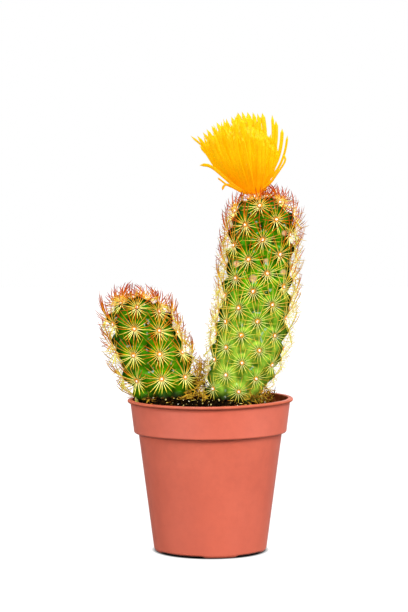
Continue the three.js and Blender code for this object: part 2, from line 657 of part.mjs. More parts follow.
class Bloom {
  constructor(seat) {
    this.random = seeded(5);
    this.foot = seat.tip.clone().addScaledVector(seat.normal, BLOOM_SEAT_GAP);
    const lean = new THREE.Vector3(-Math.sin(BLOOM_LEAN.left * RAD),
      -Math.sin(BLOOM_LEAN.forward * RAD), 1);
    this.axis = lean.normalize();
    this.right = new THREE.Vector3(1, 0, 0).projectOnPlane(this.axis).normalize();
    this.back = this.axis.clone().cross(this.right);
  }

  // A unit vector square to the bloom's axis, at an angle from its right-hand side.
  bearing(angle) {
    return this.right.clone().multiplyScalar(Math.cos(angle))
      .addScaledVector(this.back, Math.sin(angle));
  }

  // A point of the core at a polar angle from the bloom's axis, in radians.
  onCore(polar, angle) {
    const place = this.foot.clone();
    if (polar < Math.PI / 2) {
      return place.addScaledVector(this.bearing(angle), CORE_RADIUS * Math.sin(polar))
        .addScaledVector(this.axis, CORE_WAIST_HEIGHT + CORE_CROWN * Math.cos(polar));
    }
    if (polar === Math.PI) return place;
    const lowestRing = CORE_RINGS.at(-1).polar;
    const under = smooth((polar / RAD - 90) / (lowestRing - 90));
    return place.addScaledVector(this.bearing(angle), lerp(CORE_RADIUS, CORE_FOOT_RADIUS, under))
      .addScaledVector(this.axis, CORE_WAIST_HEIGHT * (1 - under));
  }

  // Cross-sections of a petal: the first lies in the core, the last is its tip.
  petal(index) {
    const share = (index + 0.5) / PETALS;
    const polar = Math.acos(1 - share * (1 - Math.cos(BASE_SPREAD * RAD)));
    const angle = index * GOLDEN_ANGLE * RAD;
    const outerShare = polar / (BASE_SPREAD * RAD);
    const rightShare = ((1 + Math.cos(angle)) / 2) ** 1.5;
    const shortening = (1 - SHORTEST_ON_RIGHT) * outerShare ** 4 * rightShare;
    const length = PETAL_LENGTH * (0.93 + 0.14 * this.random()) * (1 - shortening);
    const fan = outerShare * FAN_SPREAD * RAD * (0.97 + 0.06 * this.random());
    const outward = this.bearing(angle);
    const across = this.bearing(angle + Math.PI / 2);
    const sections = [];
    let centre = this.onCore(polar, angle);
    let walked = 0;
    for (const { at, width, thickness } of PETAL_SECTIONS) {
      const lean = fan * (1 + PETAL_CURL * (0.5 - at));
      const way = this.axis.clone().multiplyScalar(Math.cos(lean))
        .addScaledVector(outward, Math.sin(lean));
      centre = centre.clone().addScaledVector(way, length * (at - walked));
      walked = at;
      const face = across.clone().cross(way);
      sections.push({ centre, across, face,
        halfWidth: (PETAL_WIDTH * width) / 2, halfThickness: (PETAL_THICKNESS * thickness) / 2 });
    }
    return { polar, angle, sections };
  }

  // The core and the petals. Each petal grows out of four corners of the core.
  build() {
    const vertices = [];
    const add = (sphere, petal) => {
      const polar = Math.acos(THREE.MathUtils.clamp(sphere.z, -1, 1));
      const place = this.onCore(polar, Math.atan2(sphere.y, sphere.x));
      return vertices.push({ sphere, place, petal }) - 1;
    };
    const petals = Array.from({ length: PETALS }, (_, index) => this.petal(index));
    petals.forEach((petal, index) => {
      const { halfWidth, halfThickness } = petal.sections[0];
      const middle = direction(petal.polar, petal.angle);
      const outward = direction(petal.polar + Math.PI / 2, petal.angle);
      const across = direction(Math.PI / 2, petal.angle + Math.PI / 2);
      petal.corners = BLADE_CORNERS.map(([a, b]) =>
        add(middle.clone().addScaledVector(outward, (a * halfThickness) / CORE_RADIUS)
          .addScaledVector(across, (b * halfWidth) / CORE_RADIUS).normalize(), index));
    });
    for (const { polar, sides } of CORE_RINGS) {
      for (let i = 0; i < sides; i++) add(direction(polar * RAD, (i / sides) * 2 * Math.PI));
    }
    add(new THREE.Vector3(0, 0, -1));
    const places = vertices.map((v) => v.place);
    const isRoot = ([a, b, c]) => {
      const { petal } = vertices[a];
      return petal !== undefined && petal === vertices[b].petal && petal === vertices[c].petal;
    };
    const onCore = trianglesOn(vertices.map((v) => v.sphere));
    const faces = onCore.filter((triangle) => !isRoot(triangle));
    petals.forEach((petal) => this.addBlade(petal, places, faces));
    return meshGeometry(places, faces);
  }

  // Adds one petal, from its corners on the core to its tip.
  addBlade({ corners, sections }, places, faces) {
    let ring = corners;
    sections.slice(1).forEach((section, i) => {
      const { centre, across, face, halfWidth, halfThickness } = section;
      const before = sections[i];
      placed.push({ root: before.centre, tip: centre, key: "bloom",
        rootRadius: before.halfWidth, tipRadius: halfWidth });
      if (halfWidth === 0) {
        const tip = places.push(centre) - 1;
        ring.forEach((a, n) => faces.push([a, ring[(n + 1) % 4], tip]));
        return;
      }
      const next = BLADE_CORNERS.map(([a, b]) =>
        places.push(centre.clone().addScaledVector(face, a * halfThickness)
          .addScaledVector(across, b * halfWidth)) - 1);
      ring.forEach((a, n) => {
        const m = (n + 1) % 4;
        faces.push([a, ring[m], next[m]], [a, next[m], next[n]]);
      });
      ring = next;
    });
  }

  // True where a point is within a margin of the bloom's core.
  covers(p, margin) {
    const local = p.clone().sub(this.foot);
    const height = local.dot(this.axis);
    if (height < -margin || height > CORE_WAIST_HEIGHT + CORE_CROWN + margin) return false;
    const low = lerp(CORE_FOOT_RADIUS, CORE_RADIUS, smooth(height / CORE_WAIST_HEIGHT));
    return local.addScaledVector(this.axis, -height).length() < low + margin;
  }
}

function piece(name, geometry, color, roughness) {
  const flat = geometry.index ? geometry.toNonIndexed() : geometry;
  flat.computeVertexNormals();
  const material = new THREE.MeshStandardMaterial({ color, roughness, metalness: 0 });
  const mesh = new THREE.Mesh(flat, material);
  mesh.name = name;
  return mesh;
}

// The bloom comes first, and then the tall stem, so that the later spines keep clear.
const tallStem = new Stem(TALL_STEM);
const shortStem = new Stem(SHORT_STEM);
const bloom = new Bloom(tallStem.seatFor(BLOOM_SEAT));
const nearTall = (p) => tallStem.covers(p, SPINE_MARGINS.stem);
const nearShort = (p) => shortStem.covers(p, SPINE_MARGINS.stem);
const nearBloom = (p) => bloom.covers(p, SPINE_MARGINS.bloom);

const plant = new THREE.Group();
plant.add(
  piece("pot", potGeometry(), "#d9694f", 0.55),
  piece("soil", soilGeometry([tallStem, shortStem]), "#1d1510", 0.95),
  piece("bloom", bloom.build(), "#ffb400", 0.6),
  piece("stem_tall", tallStem.build([nearShort, nearBloom]), "#4f9a1c", 0.5),
  piece("stem_short", shortStem.build([nearTall]), "#3f8a14", 0.5),
);

export default plant;
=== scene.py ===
"""Potted lady finger cactus: the finish of every piece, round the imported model.

Sizes are in millimetres until a mesh is made, in the frame of the part: the origin is on the
surface the pot stands on, +Z is up, and the front of the plant faces -Y. Angles among the
named values are in degrees.
"""

import math

import bpy
import numpy as np
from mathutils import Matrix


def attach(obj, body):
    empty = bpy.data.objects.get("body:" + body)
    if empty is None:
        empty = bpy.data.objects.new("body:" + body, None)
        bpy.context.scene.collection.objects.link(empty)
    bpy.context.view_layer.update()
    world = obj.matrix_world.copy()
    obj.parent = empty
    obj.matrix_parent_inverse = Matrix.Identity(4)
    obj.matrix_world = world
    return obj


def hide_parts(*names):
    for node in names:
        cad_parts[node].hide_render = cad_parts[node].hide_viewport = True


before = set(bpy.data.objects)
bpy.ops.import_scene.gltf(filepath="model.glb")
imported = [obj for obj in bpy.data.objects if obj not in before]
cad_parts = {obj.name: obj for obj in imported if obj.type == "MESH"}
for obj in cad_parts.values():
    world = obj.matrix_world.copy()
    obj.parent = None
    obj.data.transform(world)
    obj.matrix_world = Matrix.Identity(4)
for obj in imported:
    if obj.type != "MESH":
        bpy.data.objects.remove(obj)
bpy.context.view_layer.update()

MM = 0.001
RAD = math.pi / 180
GOLDEN_ANGLE = 137.508 * RAD
GOLDEN_RATIO = (1 + math.sqrt(5)) / 2

# Pot: radii, heights and roundings of the moulded shell.
POT_HEIGHT = 49.8
POT_WALL = 0.9
POT_SIDES = 168
LIP_RADIUS = 27.5
LIP_HEIGHT = 1.0
BAND_TOP_RADIUS = 26.5
BAND_FOOT_RADIUS = 25.4
BAND_FOOT_HEIGHT = 40.1
BAND_UNDERSIDE_HEIGHT = 38.9
BODY_TOP_RADIUS = 23.8
BODY_FOOT_RADIUS = 18.8
MOUTH_RADIUS = BAND_TOP_RADIUS - POT_WALL
FLOOR_THICKNESS = 1.25
FLOOR_RADII = [2, 7.5, 14.5]
FOOT_ROUNDING = 1.3
STEP_ROUNDING = 0.7
MOUTH_ROUNDING = 0.5
FILLET = 0.35
BEVEL = 0.1
# How far the wall is out of round at the top, as a share, and the height where that starts.
OUT_OF_ROUND = 0.0015
OUT_OF_ROUND_FROM = 20
OUT_OF_ROUND_RISE = 30
# How far the mouth is pulled up on the right and at the back, and how slowly on the right.
MOUTH_TILT = 0.6
MOUTH_BACK_LIFT = 0.9
TILT_START = -5
TILT_WIDTH = 32
# The notches under the foot, as angles from the front towards the right.
FOOT_NOTCHES = [(-62, -5), (26, 66), (100, 150), (-160, -112)]
NOTCH_DEPTH = 0.5
NOTCH_END = 3
# Painted shade: how dark the wall is towards its foot, up to what height, and how dark the band is.
FOOT_PAINTED_SHADE = 0.5
PAINTED_SHADE_HEIGHT = 20
BAND_PAINTED_SHADE = 0.25
DRAIN_HOLES = 4
DRAIN_RADIUS = 2.2
DRAIN_CIRCLE = 11
DRAIN_SIDES = 40
# The grain of the moulded plastic: its strength, depth in metres, and the noise it is made of.
MOULDED_GRAIN = (0.12, 0.0002, 1500, 3)

# Soil: its surface, heaped against the stems as [x, y, rise, spread] and low along the wall,
# and what lies on it.
SOIL_EDGE_HEIGHT = 47.4
SOIL_EDGE_WIDTH = 6
SOIL_EDGE_SHARE = 0.35
SOIL_DEPTH = 3.5
SOIL_GAP = 0.35
SOIL_TAPER = 0.975
SOIL_CRUMB = 0.35
SOIL_HEAPS = [(-16, -3, 3.5, 9), (3.5, -4, 3.0, 9)]
SOIL_RINGS = 90
SOIL_SIDES = 220
LUMP_SIZES = (3.2, 2.1, 1.4, 0.9, 0.6)
LUMP_WAVES = 3
LUMP_HEIGHT = 0.055
CRUMBS = 2600
PERLITE_GRAINS = 190
FALLEN_SPINES = 70
# Litter keeps clear of the wall, and of a stem's axis at the height of the soil.
LITTER_WALL_GAP = 0.9
LITTER_STEM_GAP = 8.3
LITTER_LEVEL = 50
# Spines keep clear of the wall, up to a little above the lip.
SPINE_WALL_GAP = 0.7
SPINE_LIP_GAP = 1

# Stems: the axis is a cubic Bezier in the XZ plane with these [x, z] control points. The
# radii reach the tips of the tubercles. The areas are the skin of one areole, in square
# millimetres, at the foot, the middle, the top and the apex. The relief is the depth of the
# valleys at the same places, as a share of the square root of the area. The cap that limits
# the crown has the x and z of its top, and its radius. The redness of the spines is stated at
# the foot and at the top, and the reddening is the power of the height that it follows. Those
# that point up the stem are redder, by up_redness, rise more and are longer. At the foot the
# spines have the least stoutness, as a share, and growth is their length there and higher up.
# The scars are old ones on the front of the stem, as [x, z, radius]. The skin has its colours
# low down, in the middle and at the top.
TALL_STEM = {
    "name": "tall",
    "y": -0.8,
    "axis": [(2.3, 40), (16.9, 75.3), (14.0, 75.0), (17.3, 108.0)],
    "foot_radius": 8.0,
    "full_radius": 12.3,
    "full_height": 70,
    "top_radius": 11.3,
    "dome_height": 10.5,
    "divergence": 137.53,
    "first_angle": 322.9,
    "areas": (44.3, 53.3, 62.6, 20.0),
    "relief": (0.38, 0.46, 0.54, 0.58),
    "cap": (17, 118.2, 15),
    "redness": (0.0, 0.78),
    "reddening": 2.8,
    "up_redness": (0.12, 0.6),
    "up_rise": 36,
    "up_length": 0.25,
    "least_stoutness": 0,
    "growth": (0.7, 1.12),
    "seed": 11,
    "scars": [(8.6, 95.2, 1.3), (13.9, 90.5, 1.5), (23.9, 92.4, 1.2), (18.2, 96.2, 0.9),
              (24.2, 105.2, 1.0)],
    "skin": [(0.26, 0.49, 0.045), (0.075, 0.375, 0.001), (0.019, 0.175, 0.001)],
}
SHORT_STEM = {
    "name": "short",
    "y": 2.2,
    "axis": [(-10.2, 41), (-15.2, 59.8), (-19.8, 60.8), (-23.7, 77.0)],
    "foot_radius": 8.8,
    "full_radius": 12.1,
    "full_height": 62,
    "top_radius": 11.2,
    "dome_height": 9.5,
    "divergence": -133.21,
    "first_angle": 134.3,
    "areas": (22.5, 74.5, 68.9, 21.5),
    "relief": (0.42, 0.46, 0.52, 0.58),
    "cap": (-25, 84.6, 13),
    "redness": (0.15, 0.55),
    "reddening": 1.7,
    "up_redness": (0.25, 0.55),
    "up_rise": 42,
    "up_length": 0.3,
    "least_stoutness": 1,
    "growth": (1.04, 1.04),
    "seed": 23,
    "scars": [],
    "skin": [(0.077, 0.32, 0.002), (0.053, 0.28, 0.001), (0.019, 0.155, 0.001)],
}
AXIS_STEPS = 2001
STEM_ROWS = 241
FOOT_ROWS = 40
DOME_ROWS = 90
FOOT_DEPTH = 4.5
CAP_SOFTNESS = 0.6
# The skin's mesh: its step, and how far it starts under the foot and ends before the apex.
SKIN_STEP = 0.36
SKIN_START = 1.5
SKIN_END = 0.12
SKIN_UNEVENNESS = 0.07
# Tubercles: the radius of one as a share of the square root of its area, and its form.
CELL_RADIUS_SHARE = 0.62
TUBERCLE_POWER = 1.12
TUBERCLE_TILT = 0.34
TIP_ROUNDING = 0.012
VALLEY_LIMIT = 1.2
CELL_BLEND = 3.2
# The heights from which the colours of the skin and of the spines change.
SKIN_COLOUR_FROM = 46
SPINE_COLOUR_FROM = 47
# Height above the soil up to which the skin is darkened: painted shade where the stem meets the
# soil.
FOOT_SHADE = 3.4
BURIED_BELOW = 1.9
TUFT_AREOLES = 8
TUFT_REACH = 6.5
CROWN_LEAN = 0.55
# The areoles that the bloom sits on bear nothing.
BLOOM_SEAT_REACH = 2.6

# Spines, and the wool and the cushion of an areole.
RADIAL_SPINES = 22
TUFT_SPINES = 9
SPINE_LENGTH = 6.0
TUFT_SPINE_SHARE = 0.54
TOP_SHORTENING = 0.28
SPINE_RADIUS = 0.1
SPINE_TIP_RADIUS = 0.012
SPINE_SIDES = 5
SPINE_RINGS = 6
ROOT_RING = 0.68
ROOT_DEPTH = 0.12
# Rise of every spine from the skin, what is added for those that point down, for every fourth
# that points across the stem, and at the apex, and the range of the tuft's.
SPINE_RISE = 14
DOWN_RISE = 16
RAISED_SPINE_RISE = 16
APEX_RISE = 12
TUFT_RISE = (25, 70)
# A share of the spines is stouter and redder than the rest.
BOLD_SHARE = 0.34
# The spines glow a little: painted light for the light that passes through them.
SPINE_GLOW = 0.2
# Clumps of dead spines at the feet of the stems: their middle, and how dark they are.
OLD_CLUMPS = [(-7.5, -8.5, 52.0, 0.3), (-5.5, -8.5, 53.5, 0.3), (-3.2, -8.5, 52.3, 0.3),
              (-4.2, -7, 55.8, 0.4), (-2.0, -9.5, 51.2, 0.3), (-8.5, -10, 51.3, 0.3),
              (-4.6, -2, 52, 0.8), (-4.2, 0, 54.5, 0.7), (-3.8, -4, 50.5, 0.9),
              (-4.8, -2, 56.5, 0.6), (-3.6, -1, 58.5, 0.3), (-4.2, -3, 61.0, 0.1),
              (-1.9, -2, 55.5, 0.7), (-1.7, -1, 58.5, 0.3), (-1.9, 0, 61.5, 0.1),
              (14.5, -9.5, 51.6, 0.4), (16.5, -8.8, 52.8, 0.5), (18.5, -7.0, 53.6, 0.5),
              (13, -10, 50.6, 0.5), (17, -9, 50.8, 0.6), (20.5, -6, 51.2, 0.7),
              (-20, -9, 51, 0.8)]
OLD_SPINES_PER_CLUMP = 14
OLD_SPINE_LENGTH = 3.8
OLD_SPINE_RADIUS = 0.135
BUTTON_RADIUS = 0.62
CUSHION_SIDES = 14
# Rings of the cushion: radius as a share of the button's, height, and tone.
CUSHION_PROFILE = [(0.9, -0.5, 0.0), (1.05, -0.05, 0.3), (0.95, 0.12, 0.8), (0.66, 0.18, 1.0),
                   (0.42, 0.06, 0.5)]
WOOL_FIBRES = 30
WOOL_TUFTS = 6
WOOL_TUFT_LENGTH = 0.3
WOOL_TUFT_RADIUS = 0.19
WOOL_FIBRE_RADIUS = 0.045
WOOL_RINGS = 4
THIN_SIDES = 4

# Bloom: petals fanned round a leaning axis.
BLOOM_FOOT = (14.5, -2.1, 118.3)
BLOOM_HEIGHT = 27.5
BLOOM_LEAN_LEFT = 7
BLOOM_LEAN_FORWARD = 4
CORE_RADIUS = 4.3
CORE_WAIST_HEIGHT = 2.4
CORE_CROWN = 3.1
# Rings of the cup, as [radius, height], and its ribs.
CUP_PROFILE = [(1.3, 0.02), (2.2, 0.25), (3.2, 1.0), (3.95, 1.9), (4.3, 2.7), (4.1, 3.7),
               (3.4, 4.6), (2.0, 5.3)]
CUP_SIDES = 72
CUP_RIBS = 24
CUP_RIB_DEPTH = 0.05
PETALS = 540
PETAL_LENGTH = 21.8
PETAL_WIDTH = 1.5
PETAL_THICKNESS = 0.16
PETAL_FOLD = 0.07
PETAL_RINGS = 14
PETAL_SIDES = 6
# The petals glow, and their own colour is dimmed by a share: painted light that flattens their
# shading.
PETAL_GLOW = 0.5
PETAL_SHADE = 0.57
LONG_PETAL_EVERY = 8
CENTRE_SHARE = 0.34
SHORTEST_ON_RIGHT = 0.72
BASE_SPREAD = 86
# The outer petals come round the side of the cup, as [radius, height] from its foot.
HUGGING_SHARE = 0.75
HUG = [(1.2, 0.1), (2.9, 0.55), (4.05, 1.6)]
# Lean of the outermost petals from the bloom's axis, at their root and at their tip.
FAN_START = 60
FAN_END = 22
# The petals at the front are longer and stand straighter. Those on the right stand straighter.
FRONT_STRETCH = 0.25
FRONT_UPRIGHT = 0.35
RIGHT_UPRIGHT = 0.2
# Petals that hang loose, each as a line of [x, y from the foot, z] points and a width.
STRAY_PETALS = [
    ([(11.5, -3, 118.6), (8.6, -4, 120.0), (4.8, -4.6, 123.4), (0.2, -5, 127.3),
      (-1.9, -5.2, 127.9), (-3.6, -5.4, 127.4)], 1.1),
    ([(10.5, -3, 118.7), (8.2, -4.4, 119.8), (6.4, -5, 120.9), (5.1, -5.4, 121.4),
      (4.2, -5.6, 120.8), (3.9, -5.7, 119.2)], 0.8),
    ([(8.5, -3.6, 119.8), (5.6, -4.4, 120.9), (2.3, -5, 123.4)], 0.6),
    ([(17.0, -2, 119.5), (20.5, -3, 122.8), (23.2, -3.4, 126.6), (25.1, -3.6, 129.6),
      (24.6, -3.7, 130.7), (23.6, -3.8, 131.0)], 0.7),
    ([(16.5, -3, 119.0), (20.0, -4, 122.1), (22.8, -4.6, 126.4)], 0.9),
    ([(10.0, 0, 121.0), (4.0, -1, 128.0), (-1.8, -1.5, 133.4), (-6.6, -1.8, 137.4)], 0.7),
]
# Petals that stand clear along the outline: x and z of the tip, and a width.
OUTLINE_PETALS = [(-3.6, 134.1, 0.9), (-4.4, 137.3, 1.0), (-2.5, 138.6, 1.1), (-1.3, 139.5, 1.1),
                  (0.3, 140.8, 1.1), (2.0, 141.9, 1.3), (4.6, 142.0, 1.1), (6.9, 143.7, 1.4),
                  (9.0, 145.3, 1.3), (10.4, 145.4, 1.2), (12.2, 145.2, 1.5), (14.0, 145.2, 1.3),
                  (15.5, 144.7, 1.2), (17.1, 145.0, 1.5), (20.3, 144.2, 1.0), (21.6, 142.4, 1.3),
                  (23.6, 139.7, 1.2), (25.3, 137.4, 0.8)]

# Studio: the reach of the floor and the radii where the shade under the pot starts to fade and
# ends, all in metres, and the suns, as [name, tilt from overhead, turn from the front to the
# right, strength, width]. The last sun only makes the small highlights on the waxy skin.
FLOOR_REACH = 6.0
SHADE_FADE = (0.018, 0.0197)
SUNS = [("key", 50, 24, 2.27, 24), ("fill", 70, -50, 1.95, 50), ("side", 80, 75, 2.15, 50),
        ("back", 60, 170, 0.8, 50), ("glint", 38, -32, 7, 4)]

# Camera: the place from which the photograph was taken.
CAMERA_PLACE = (-2.1, -550, 95)
CAMERA_PITCH = 1.44
CAMERA_LENS = 97.35
CAMERA_FILM = 36
CAMERA_REACH = 50


def smooth(x):
    t = np.clip(x, 0, 1)
    return t * t * (3 - 2 * t)


def lerp(a, b, t):
    return a + (b - a) * t


def unit(v):
    return v / np.maximum(np.linalg.norm(v, axis=-1, keepdims=True), 1e-9)


def turned(first, second, angle):
    """The direction at an angle, or at each of several, from a first axis towards a second."""
    angle = np.asarray(angle)[..., None]
    return first * np.cos(angle) + second * np.sin(angle)


def ring_turns(sides):
    """The angles of the corners of a ring."""
    return np.arange(sides) * 2 * math.pi / sides


def lengths_along(line):
    """How far along a line each of its points is."""
    return np.concatenate([[0], np.cumsum(np.linalg.norm(np.diff(line, axis=0), axis=1))])


def resampled(line, shares):
    """The points at shares of the length of a line."""
    far = lengths_along(line)
    return np.stack([np.interp(shares * far[-1], far, column) for column in line.T], -1)


def bent_line(root, way, length, bend, rings=SPINE_RINGS):
    """A line from a root along a way, carried off more and more by a bend."""
    t = np.linspace(0, 1, rings)[:, None]
    return root + length * t * way + length * t * t * bend


# Meshes

class Pile:
    """Many small forms that are joined into one piece."""

    def __init__(self):
        self.points = []
        self.faces = []
        self.values = {}
        self.count = 0

    def add(self, points, faces, **values):
        points = np.asarray(points, float).reshape(-1, 3)
        self.points.append(points)
        self.faces += [tuple(i + self.count for i in face) for face in faces]
        for key, value in values.items():
            column = np.broadcast_to(np.asarray(value, float).reshape(-1), len(points))
            self.values.setdefault(key, []).append(column)
        self.count += len(points)

    def make(self, name, material):
        values = {key: np.concatenate(columns) for key, columns in self.values.items()}
        make_piece(name, np.concatenate(self.points), self.faces, material, values)


def make_piece(name, points, faces, material, values=None, replaces=()):
    """A shaded mesh of the object, in metres, that stands for the CAD nodes it replaces."""
    mesh = bpy.data.meshes.new(name)
    mesh.from_pydata((np.asarray(points) * MM).tolist(), [], faces)
    for key, column in (values or {}).items():
        layer = mesh.attributes.new(key, "FLOAT", "POINT")
        layer.data.foreach_set("value", np.asarray(column, np.float32))
    mesh.polygons.foreach_set("use_smooth", [True] * len(mesh.polygons))
    mesh.update()
    mesh.materials.append(material)
    piece = bpy.data.objects.new(name, mesh)
    bpy.context.scene.collection.objects.link(piece)
    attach(piece, "root")
    for node in replaces:
        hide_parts(node)
    return piece


def ring_faces(rings, sides):
    """Quads between rings of vertices, each ring closed on itself."""
    index = np.arange(rings * sides).reshape(rings, sides)
    after = np.roll(index, -1, axis=1)
    quads = np.stack([index[:-1], after[:-1], after[1:], index[1:]], axis=-1)
    return quads.reshape(-1, 4).tolist()


def closed_faces(rings, sides):
    """The same quads, and a face over the first ring and over the last."""
    first = list(range(sides))[::-1]
    last = list(range((rings - 1) * sides, rings * sides))
    return [*ring_faces(rings, sides), first, last]


def tube_mesh(paths, radii, sides, flat=None):
    """Tapered tubes that end in a point. paths is (tubes, rings, 3) and radii (tubes, rings).

    flat gives the tubes a side vector, and a thickness and a fold across it, for each ring.
    Returns the points, the faces, and the share of the way to the tip of each point.
    """
    tubes, rings, _ = paths.shape
    tangent = unit(np.gradient(paths, axis=1))
    if flat is None:
        helper = np.where(np.abs(tangent[:, :1, 2:]) > 0.8, [1.0, 0, 0], [0, 0, 1.0])
        flat = {"side": unit(np.cross(tangent, helper)), "thickness": radii, "fold": 0 * radii}
    side = flat["side"]
    side = unit(side - np.sum(side * tangent, -1, keepdims=True) * tangent)
    other = np.cross(tangent, side)
    angles = ring_turns(sides)
    wide = radii[..., None] * np.cos(angles)
    deep = flat["thickness"][..., None] * np.sin(angles)
    deep = deep + flat["fold"][..., None] * (1 - np.abs(np.cos(angles)))
    points = (paths[:, :, None] + wide[..., None] * side[:, :, None]
              + deep[..., None] * other[:, :, None])
    body = points[:, :-1].reshape(tubes, -1, 3)
    points = np.concatenate([body, paths[:, -1:]], axis=1)
    per_tube = points.shape[1]
    wall = np.array(ring_faces(rings - 1, sides))
    last = (rings - 2) * sides
    turn = np.arange(sides)
    tip = np.stack([last + turn, last + (turn + 1) % sides, np.full(sides, per_tube - 1)], -1)
    base = turn[::-1]
    start = np.arange(tubes) * per_tube
    faces = (wall[None] + start[:, None, None]).reshape(-1, 4).tolist()
    faces += (tip[None] + start[:, None, None]).reshape(-1, 3).tolist()
    faces += (base[None] + start[:, None]).tolist()
    along = np.linspace(0, 1, rings)
    share = np.concatenate([np.repeat(along[:-1], sides), [1.0]])
    return points.reshape(-1, 3), faces, np.tile(share, tubes)


def make_tubes(name, paths, radii, sides, material, slot, **values):
    """A piece of tapered tubes. Each tube has one of the values."""
    points, faces, along = tube_mesh(np.array(paths), np.array(radii), sides)
    per_tube = len(points) // len(paths)
    values = {key: np.repeat(column, per_tube) for key, column in values.items()}
    make_piece(name, points, faces, material, {"along": along, **values})


# Materials

class Nodes:
    """The nodes of a material or of the world. Most methods add one and return its output."""

    # Sockets of a Mix node that mixes colours.
    MIX_INPUTS = (0, 6, 7)
    MIX_OUTPUT = 2

    def __init__(self, owner, shader):
        owner.use_nodes = True
        self.owner = owner
        self.tree = owner.node_tree
        self.shader = self.tree.nodes[shader]

    def fill(self, socket, value):
        """Links an input to an output, or gives it a number or a colour."""
        if isinstance(value, bpy.types.NodeSocket):
            self.tree.links.new(value, socket)
        else:
            socket.default_value = (*value, 1) if socket.type == "RGBA" else value

    def feed(self, **inputs):
        """Fills inputs of the shader."""
        for key, value in inputs.items():
            self.fill(self.shader.inputs[key.replace("_", " ")], value)

    def add(self, kind, inputs, output, **settings):
        made = self.tree.nodes.new(f"ShaderNode{kind}")
        for key, value in settings.items():
            setattr(made, key, value)
        for key, value in inputs.items():
            self.fill(made.inputs[key], value)
        return made.outputs[output]

    def attribute(self, name):
        return self.add("Attribute", {}, "Fac", attribute_name=name)

    def place(self):
        return self.add("TexCoord", {}, "Object")

    def noise(self, scale, detail=3, roughness=0.55):
        """Noise in the object's own coordinates. scale is in waves per metre."""
        return self.add("TexNoise", {"Vector": self.place(), "Scale": scale, "Detail": detail,
                                     "Roughness": roughness}, "Fac")

    def ramp(self, factor, *stops):
        """A colour ramp. Each stop is a place from 0 to 1 and a linear colour."""
        colour = self.add("ValToRGB", {"Fac": factor}, "Color")
        band = colour.node.color_ramp
        while len(band.elements) < len(stops):
            band.elements.new(0.5)
        for element, (place, shade) in zip(band.elements, stops):
            element.position = place
            element.color = (*shade, 1)
        return colour

    def mix(self, factor, first, second, blend="MIX"):
        inputs = dict(zip(self.MIX_INPUTS, (factor, first, second)))
        return self.add("Mix", inputs, self.MIX_OUTPUT, data_type="RGBA", blend_type=blend)

    def multiply(self, first, second):
        return self.mix(1.0, first, second, "MULTIPLY")

    def span(self, value, low=0, high=1, start=0, end=1):
        """A value of the range from start to end, stretched to that from low to high."""
        return self.add("MapRange", {"Value": value, "From Min": start, "From Max": end,
                                     "To Min": low, "To Max": high}, "Result")

    def bump(self, strength, distance, *noise):
        """Fine unevenness, made of noise. distance is in metres."""
        self.feed(Normal=self.add("Bump", {"Height": self.noise(*noise), "Strength": strength,
                                           "Distance": distance}, "Normal"))


def surface(name, roughness, **settings):
    """The nodes of a new material."""
    nodes = Nodes(bpy.data.materials.new(name), "Principled BSDF")
    nodes.feed(Roughness=roughness, **settings)
    return nodes


def ramped_surface(name, roughness, specular, source, *stops, grain=None, **settings):
    """A material whose colour runs over an attribute or over noise, with a fine grain."""
    nodes = surface(name, roughness, Specular_IOR_Level=specular, **settings)
    factor = nodes.attribute(source) if isinstance(source, str) else nodes.noise(*source)
    nodes.feed(Base_Color=nodes.ramp(factor, *stops))
    if grain:
        nodes.bump(*grain)
    return nodes.owner


def pot_material():
    """Terracotta-coloured plastic with faint mottling and a fine moulded grain."""
    nodes = surface("pot_plastic", 0.42, IOR=1.75, Coat_Weight=0.22, Coat_Roughness=0.5,
                    Sheen_Weight=0.12, Sheen_Roughness=0.4)
    mottle = nodes.ramp(nodes.noise(60, 6, 0.62), (0.3, (0.76, 0.138, 0.073)),
                        (0.7, (0.855, 0.172, 0.094)))
    blotch = nodes.ramp(nodes.noise(320, 4), (0.36, (0.95, 0.92, 0.92)), (0.6, (1.0, 1.0, 1.0)))
    # Painted shade darkens the wall towards its foot and on the band.
    shaded_colour = nodes.mix(nodes.attribute("painted_shade"), nodes.multiply(mottle, blotch), (0.62, 0.104, 0.052))
    nodes.feed(Base_Color=shaded_colour, Roughness=nodes.span(nodes.noise(220, 4), 0.34, 0.48))
    nodes.bump(*MOULDED_GRAIN)
    return nodes.owner


def pot_lip_material():
    """The rolled lip, rubbed duller and painted a little darker than the wall: painted shade that
    tones down the light it catches.
    """
    return ramped_surface("pot_lip", 0.6, 0.2, (260, 4), (0.35, (0.52, 0.105, 0.05)),
                          (0.65, (0.60, 0.125, 0.062)), grain=MOULDED_GRAIN)


def pot_inside_material():
    """The inside of the pot, painted dark: painted shade in the mouth of the pot."""
    return ramped_surface("pot_inside", 0.9, 0.03, (260, 4), (0.35, (0.21, 0.038, 0.011)),
                          (0.65, (0.31, 0.062, 0.02)), grain=MOULDED_GRAIN)


def soil_material():
    """Dark peat, a little lighter where it is dry."""
    return ramped_surface("soil_peat", 0.95, 0, (420, 6, 0.7), (0.35, (0.004, 0.002, 0.0012)),
                          (0.75, (0.02, 0.011, 0.004)), grain=(0.9, 0.0006, 2400, 6, 0.7))


def crumb_material():
    return ramped_surface("soil_crumbs", 0.92, 0, "tone", (0.0, (0.003, 0.0016, 0.001)),
                          (0.7, (0.014, 0.007, 0.002)), (1.0, (0.12, 0.06, 0.01)),
                          grain=(0.6, 0.0004, 3000, 4))


def perlite_material():
    return ramped_surface("perlite", 0.8, 0.5, "tone", (0.0, (0.45, 0.32, 0.05)),
                          (0.6, (0.75, 0.62, 0.22)), (1.0, (0.95, 0.93, 0.85)),
                          grain=(0.5, 0.0002, 5000, 3))


